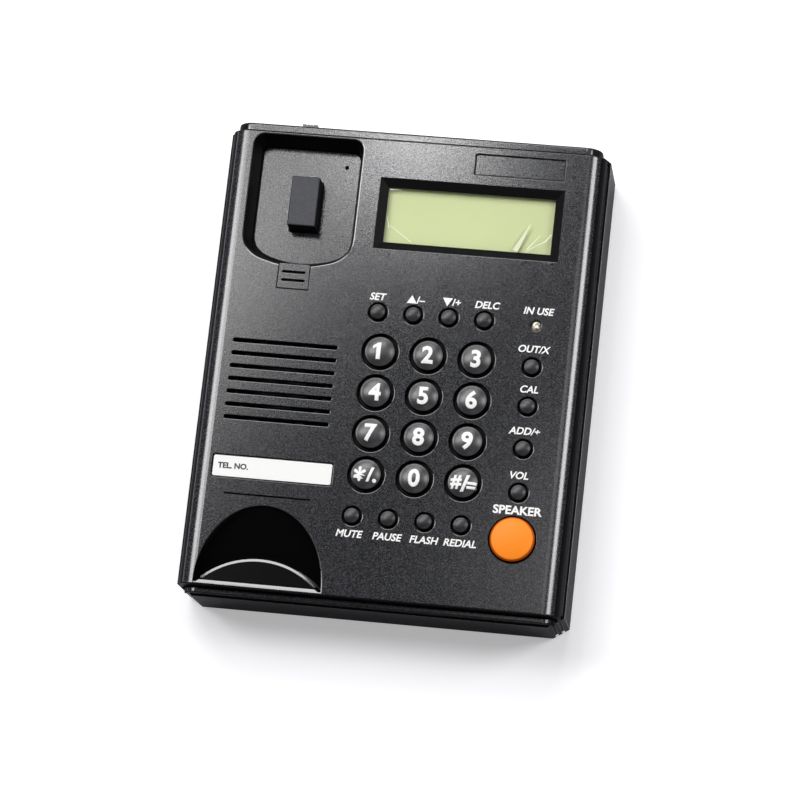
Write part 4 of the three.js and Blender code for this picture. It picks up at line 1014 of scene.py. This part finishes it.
# Legends: name, words, and place of their middle from the middle of their key or lamp
LEGENDS = (
    ("set", "SET", -0.6, 6.6), ("up", "▲/–", 0.4, 6.6), ("down", "▼/+", 0.5, 6.6),
    ("delete", "DELC", 0.7, 6.6), ("in_use", "IN USE", 0.6, 6.2), ("out", "OUT/X", 0.4, 7.597),
    ("calculator", "CAL", 0, 7.213), ("add", "ADD/÷", -0.2, 7.426), ("volume", "VOL", -0.4, 7.152),
    ("mute", "MUTE", -0.3, -7.3), ("pause", "PAUSE", 0.4, -7.3), ("flash", "FLASH", 0.6, -7.3),
    ("redial", "REDIAL", 0.4, -7.3), ("speaker", "SPEAKER", 0.9, 12.1),
)


def place_legend(name, body, x, y, style, made=print_white, z=FACE_Z):
    label = text_mesh("legend_" + name, body, **style)
    label.data.transform(Matrix.Translation((x * MM, y * MM, (z + LEGEND_LIFT) * MM)))
    dress(label, made, HOUSING, smooth=0)


PLACES = {name.removeprefix("key_"): (x, y) for name, _, x, y in KEYS}
PLACES["in_use"] = LAMP["x"], LAMP["y"]
for name, body, dx, dy in LEGENDS:
    style = SPEAKER_LEGEND if name == "speaker" else LEGEND
    if name in ARROWS:
        style = dict(style, slant=0.0)
    place_legend(name, body, PLACES[name][0] + dx, PLACES[name][1] + dy, style)


# Card in its recess
CARD_WORDS_AT = (-16.2, 0.2)


def build_card():
    edge = outline_of(CARD)(-CARD["margin"])
    top = FACE_Z - CARD["sunk"]
    low = FACE_Z - CARD["depth"] + CARD["paste"]
    card = mesh_object("card_sheet", *loft([ring(edge, low), ring(edge, top)]))
    dress(card, card_white, HOUSING, "number_card", smooth=30)
    dx, dy = CARD_WORDS_AT
    place_legend("card", "TEL. NO.", CARD["x"] + dx, CARD["y"] + dy, CARD_LEGEND, print_black, top)


build_card()


# Creases of the film over the display: width at either end, and path from the window's middle
CREASES = (
    (0.16, 0.3, ((-34.3, 0), (-32.9, -5.5))),
    (0.12, 0.2, ((-32.5, -4.2), (-27.8, -7.5), (-23, -10.8))),
    (0.5, 2.2, ((25.1, 0.6), (22.3, -5.7), (19.9, -11))),
    (0.1, 0.3, ((29.9, -3.4), (27.3, -6.5), (24.8, -9.9))),
    (0.35, 0.12, ((34.2, -2.9), (31.9, -6), (28.6, -8), (24.3, -11))),
    (0.3, 0.1, ((-34.2, 11), (-29.4, 11.2))),
)
BROAD_CREASE = 1
CREASE_LIFT = 0.01


def build_crease(name, start, end, path):
    """Strip along a path, as wide as start and end say at its two ends."""
    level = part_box("display_lens")[1][2] / MM + CREASE_LIFT
    points, faces = [], []
    for i, (x, y) in enumerate(path):
        before, after = path[max(i - 1, 0)], path[min(i + 1, len(path) - 1)]
        along = Vector((after[0] - before[0], after[1] - before[1])).normalized()
        half = (start + (end - start) * i / (len(path) - 1)) / 2
        for side in (-half, half):
            points.append((DISPLAY["x"] + x - along.y * side, DISPLAY["y"] + y + along.x * side, level))
        if i:
            faces.append((2 * i - 2, 2 * i, 2 * i + 1, 2 * i - 1))
    made = film_haze if max(start, end) > BROAD_CREASE else film_light
    dress(mesh_object(name, points, faces), made, HOUSING, smooth=0)


for i, crease in enumerate(CREASES):
    build_crease(f"film_crease_{i + 1}", *crease)


# Base: the CAD tub with softened edges
def build_base():
    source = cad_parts["bottom_cover"]
    base = new_object("base_tub", source.data.copy())
    with edited(base.data) as work:
        bmesh.ops.remove_doubles(work, verts=work.verts, dist=WELD * MM)
        bmesh.ops.dissolve_limit(work, angle_limit=math.radians(FLAT_ANGLE), verts=work.verts,
                                 edges=work.edges)
    base.data.materials.clear()
    base.data.materials.append(base_black)
    # The bevels take the lighter, glossier edge copy, a partly painted highlight
    base.data.materials.append(edge_gloss_highlight)
    soft = base.modifiers.new("soft_edges", "BEVEL")
    soft.width = BASE_EDGE * MM
    soft.segments = 2
    soft.limit_method = "ANGLE"
    soft.angle_limit = math.radians(BASE_EDGE_ANGLE)
    soft.material = 1
    soft.use_clamp_overlap = True
    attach(base, HOUSING)
    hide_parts("bottom_cover")


build_base()


# Other CAD nodes keep their shape and take a finished material
FINISHES = (
    (base_black, "battery_door"), (clear_acrylic, "display_lens"), (display_green, "display_panel"),
    (board_green, "display_board", "keypad_board", "main_board"), (lamp_clear, "indicator_lamp"),
    (rubber_grey, "keypad_mat"), (cone_black, "loudspeaker_cone"), (ferrite, "loudspeaker_magnet"),
    (basket_black, "loudspeaker_basket", "microphone"), (key_black, "ringer_knob"),
    (socket_black, "hook_switch", "line_jack", "handset_jack"),
    (steel, "ringer_switch", "battery_contact_front", "battery_contact_back"),
    (steel, *(f"case_screw_{i}" for i in range(1, 5))),
    (cell_grey, *(f"battery_{i}" for i in range(1, 4))),
    (rubber_black, *(f"foot_{i}" for i in range(1, 5))),
)
for made, *names in FINISHES:
    for name in names:
        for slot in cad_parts[name].material_slots:
            slot.material = made


# Camera: the photograph's place and aim, in millimetres, and its roll in degrees
CAMERA_AT = Vector((217.25, -364.05, 1613.8)) * MM
CAMERA_AIM = Vector((-1.12, -4.49, 0)) * MM
CAMERA_ROLL = -25.655
camera_data = bpy.data.cameras.new("camera")
camera_data.lens = 180
camera_data.sensor_width = 36
camera = new_object("camera", camera_data)
look = (CAMERA_AIM - CAMERA_AT).to_track_quat("-Z", "Y").to_matrix().to_4x4()
roll = Matrix.Rotation(math.radians(CAMERA_ROLL), 4, "Z")
camera.matrix_world = Matrix.Translation(CAMERA_AT) @ look @ roll
scene.camera = camera


# Floor and light
FLOOR_HALF = 4000
FLOOR_COLOR = (0.87, 0.87, 0.9, 1)
FLOOR_GLOW = 0.32
WORLD_COLOR = (0.08, 0.08, 0.085, 1)
WHITE = (1, 1, 1, 1)
# Lamps: name, place, aim, width and height in millimetres, and power in watts
LAMPS = (
    ("key_light", (-220, 650, 1600), (-220, 200, 0), (50, 280), 1.1),
    ("soft_light", (-290, 670, 1600), (-300, 200, 0), (200, 260), 0.5),
    ("left_light", (-600, 400, 1600), (0, 0, 0), (500, 420), 3.9),
    ("left_edge_light", (-1120, 400, 1450), (0, 0, 0), (600, 620), 9.6),
    ("right_light", (220, 270, 1600), (0, 0, 0), (500, 600), 1),
    ("right_edge_light", (1200, 400, 1250), (0, 0, 0), (550, 700), 10.5),
    ("back_light", (-300, 1160, 1400), (0, 0, 0), (1400, 680), 17.5),
    ("front_light", (500, -1100, 1300), (0, 0, 0), (1000, 400), 2.5),
)


def floor_material():
    """Matte white that keeps the shadow, with a glow that only the camera sees."""
    made, output = bare_material("floor_white")
    matte = add_node(made, "ShaderNodeBsdfDiffuse", Color=FLOOR_COLOR)
    glow = add_node(made, "ShaderNodeEmission", Color=WHITE)
    path = add_node(made, "ShaderNodeLightPath")
    seen = add_node(made, "ShaderNodeMath", operation="MULTIPLY")
    seen.inputs[1].default_value = FLOOR_GLOW
    both = add_node(made, "ShaderNodeAddShader")
    link(made, path, "Is Camera Ray", seen, 0)
    link(made, seen, 0, glow, "Strength")
    link(made, matte, "BSDF", both, 0)
    link(made, glow, "Emission", both, 1)
    link(made, both, "Shader", output, "Surface")
    return made


def build_world():
    """Dim grey surroundings that the camera sees as white."""
    world = bpy.data.worlds.new("world")
    scene.world = world
    world.use_nodes = True
    background = world.node_tree.nodes["Background"]
    path = add_node(world, "ShaderNodeLightPath")
    pick = add_node(world, "ShaderNodeMix", data_type="RGBA")
    pick.inputs["A"].default_value = WORLD_COLOR
    pick.inputs["B"].default_value = WHITE
    link(world, path, "Is Camera Ray", pick, "Factor")
    link(world, pick, "Result", background, "Color")


def area_light(name, place, aim, size, power):
    data = bpy.data.lights.new(name, "AREA")
    data.shape = "RECTANGLE"
    data.size, data.size_y = (side * MM for side in size)
    data.energy = power
    light = new_object(name, data)
    light.location = Vector(place) * MM
    light.rotation_euler = (Vector(aim) - Vector(place)).to_track_quat("-Z", "Y").to_euler()


corners = [(x * FLOOR_HALF, y * FLOOR_HALF, 0) for x, y in ((-1, -1), (1, -1), (1, 1), (-1, 1))]
floor = mesh_object("floor", corners, [(0, 1, 2, 3)])
floor.data.materials.append(floor_material())
build_world()
for lamp in LAMPS:
    area_light(*lamp)
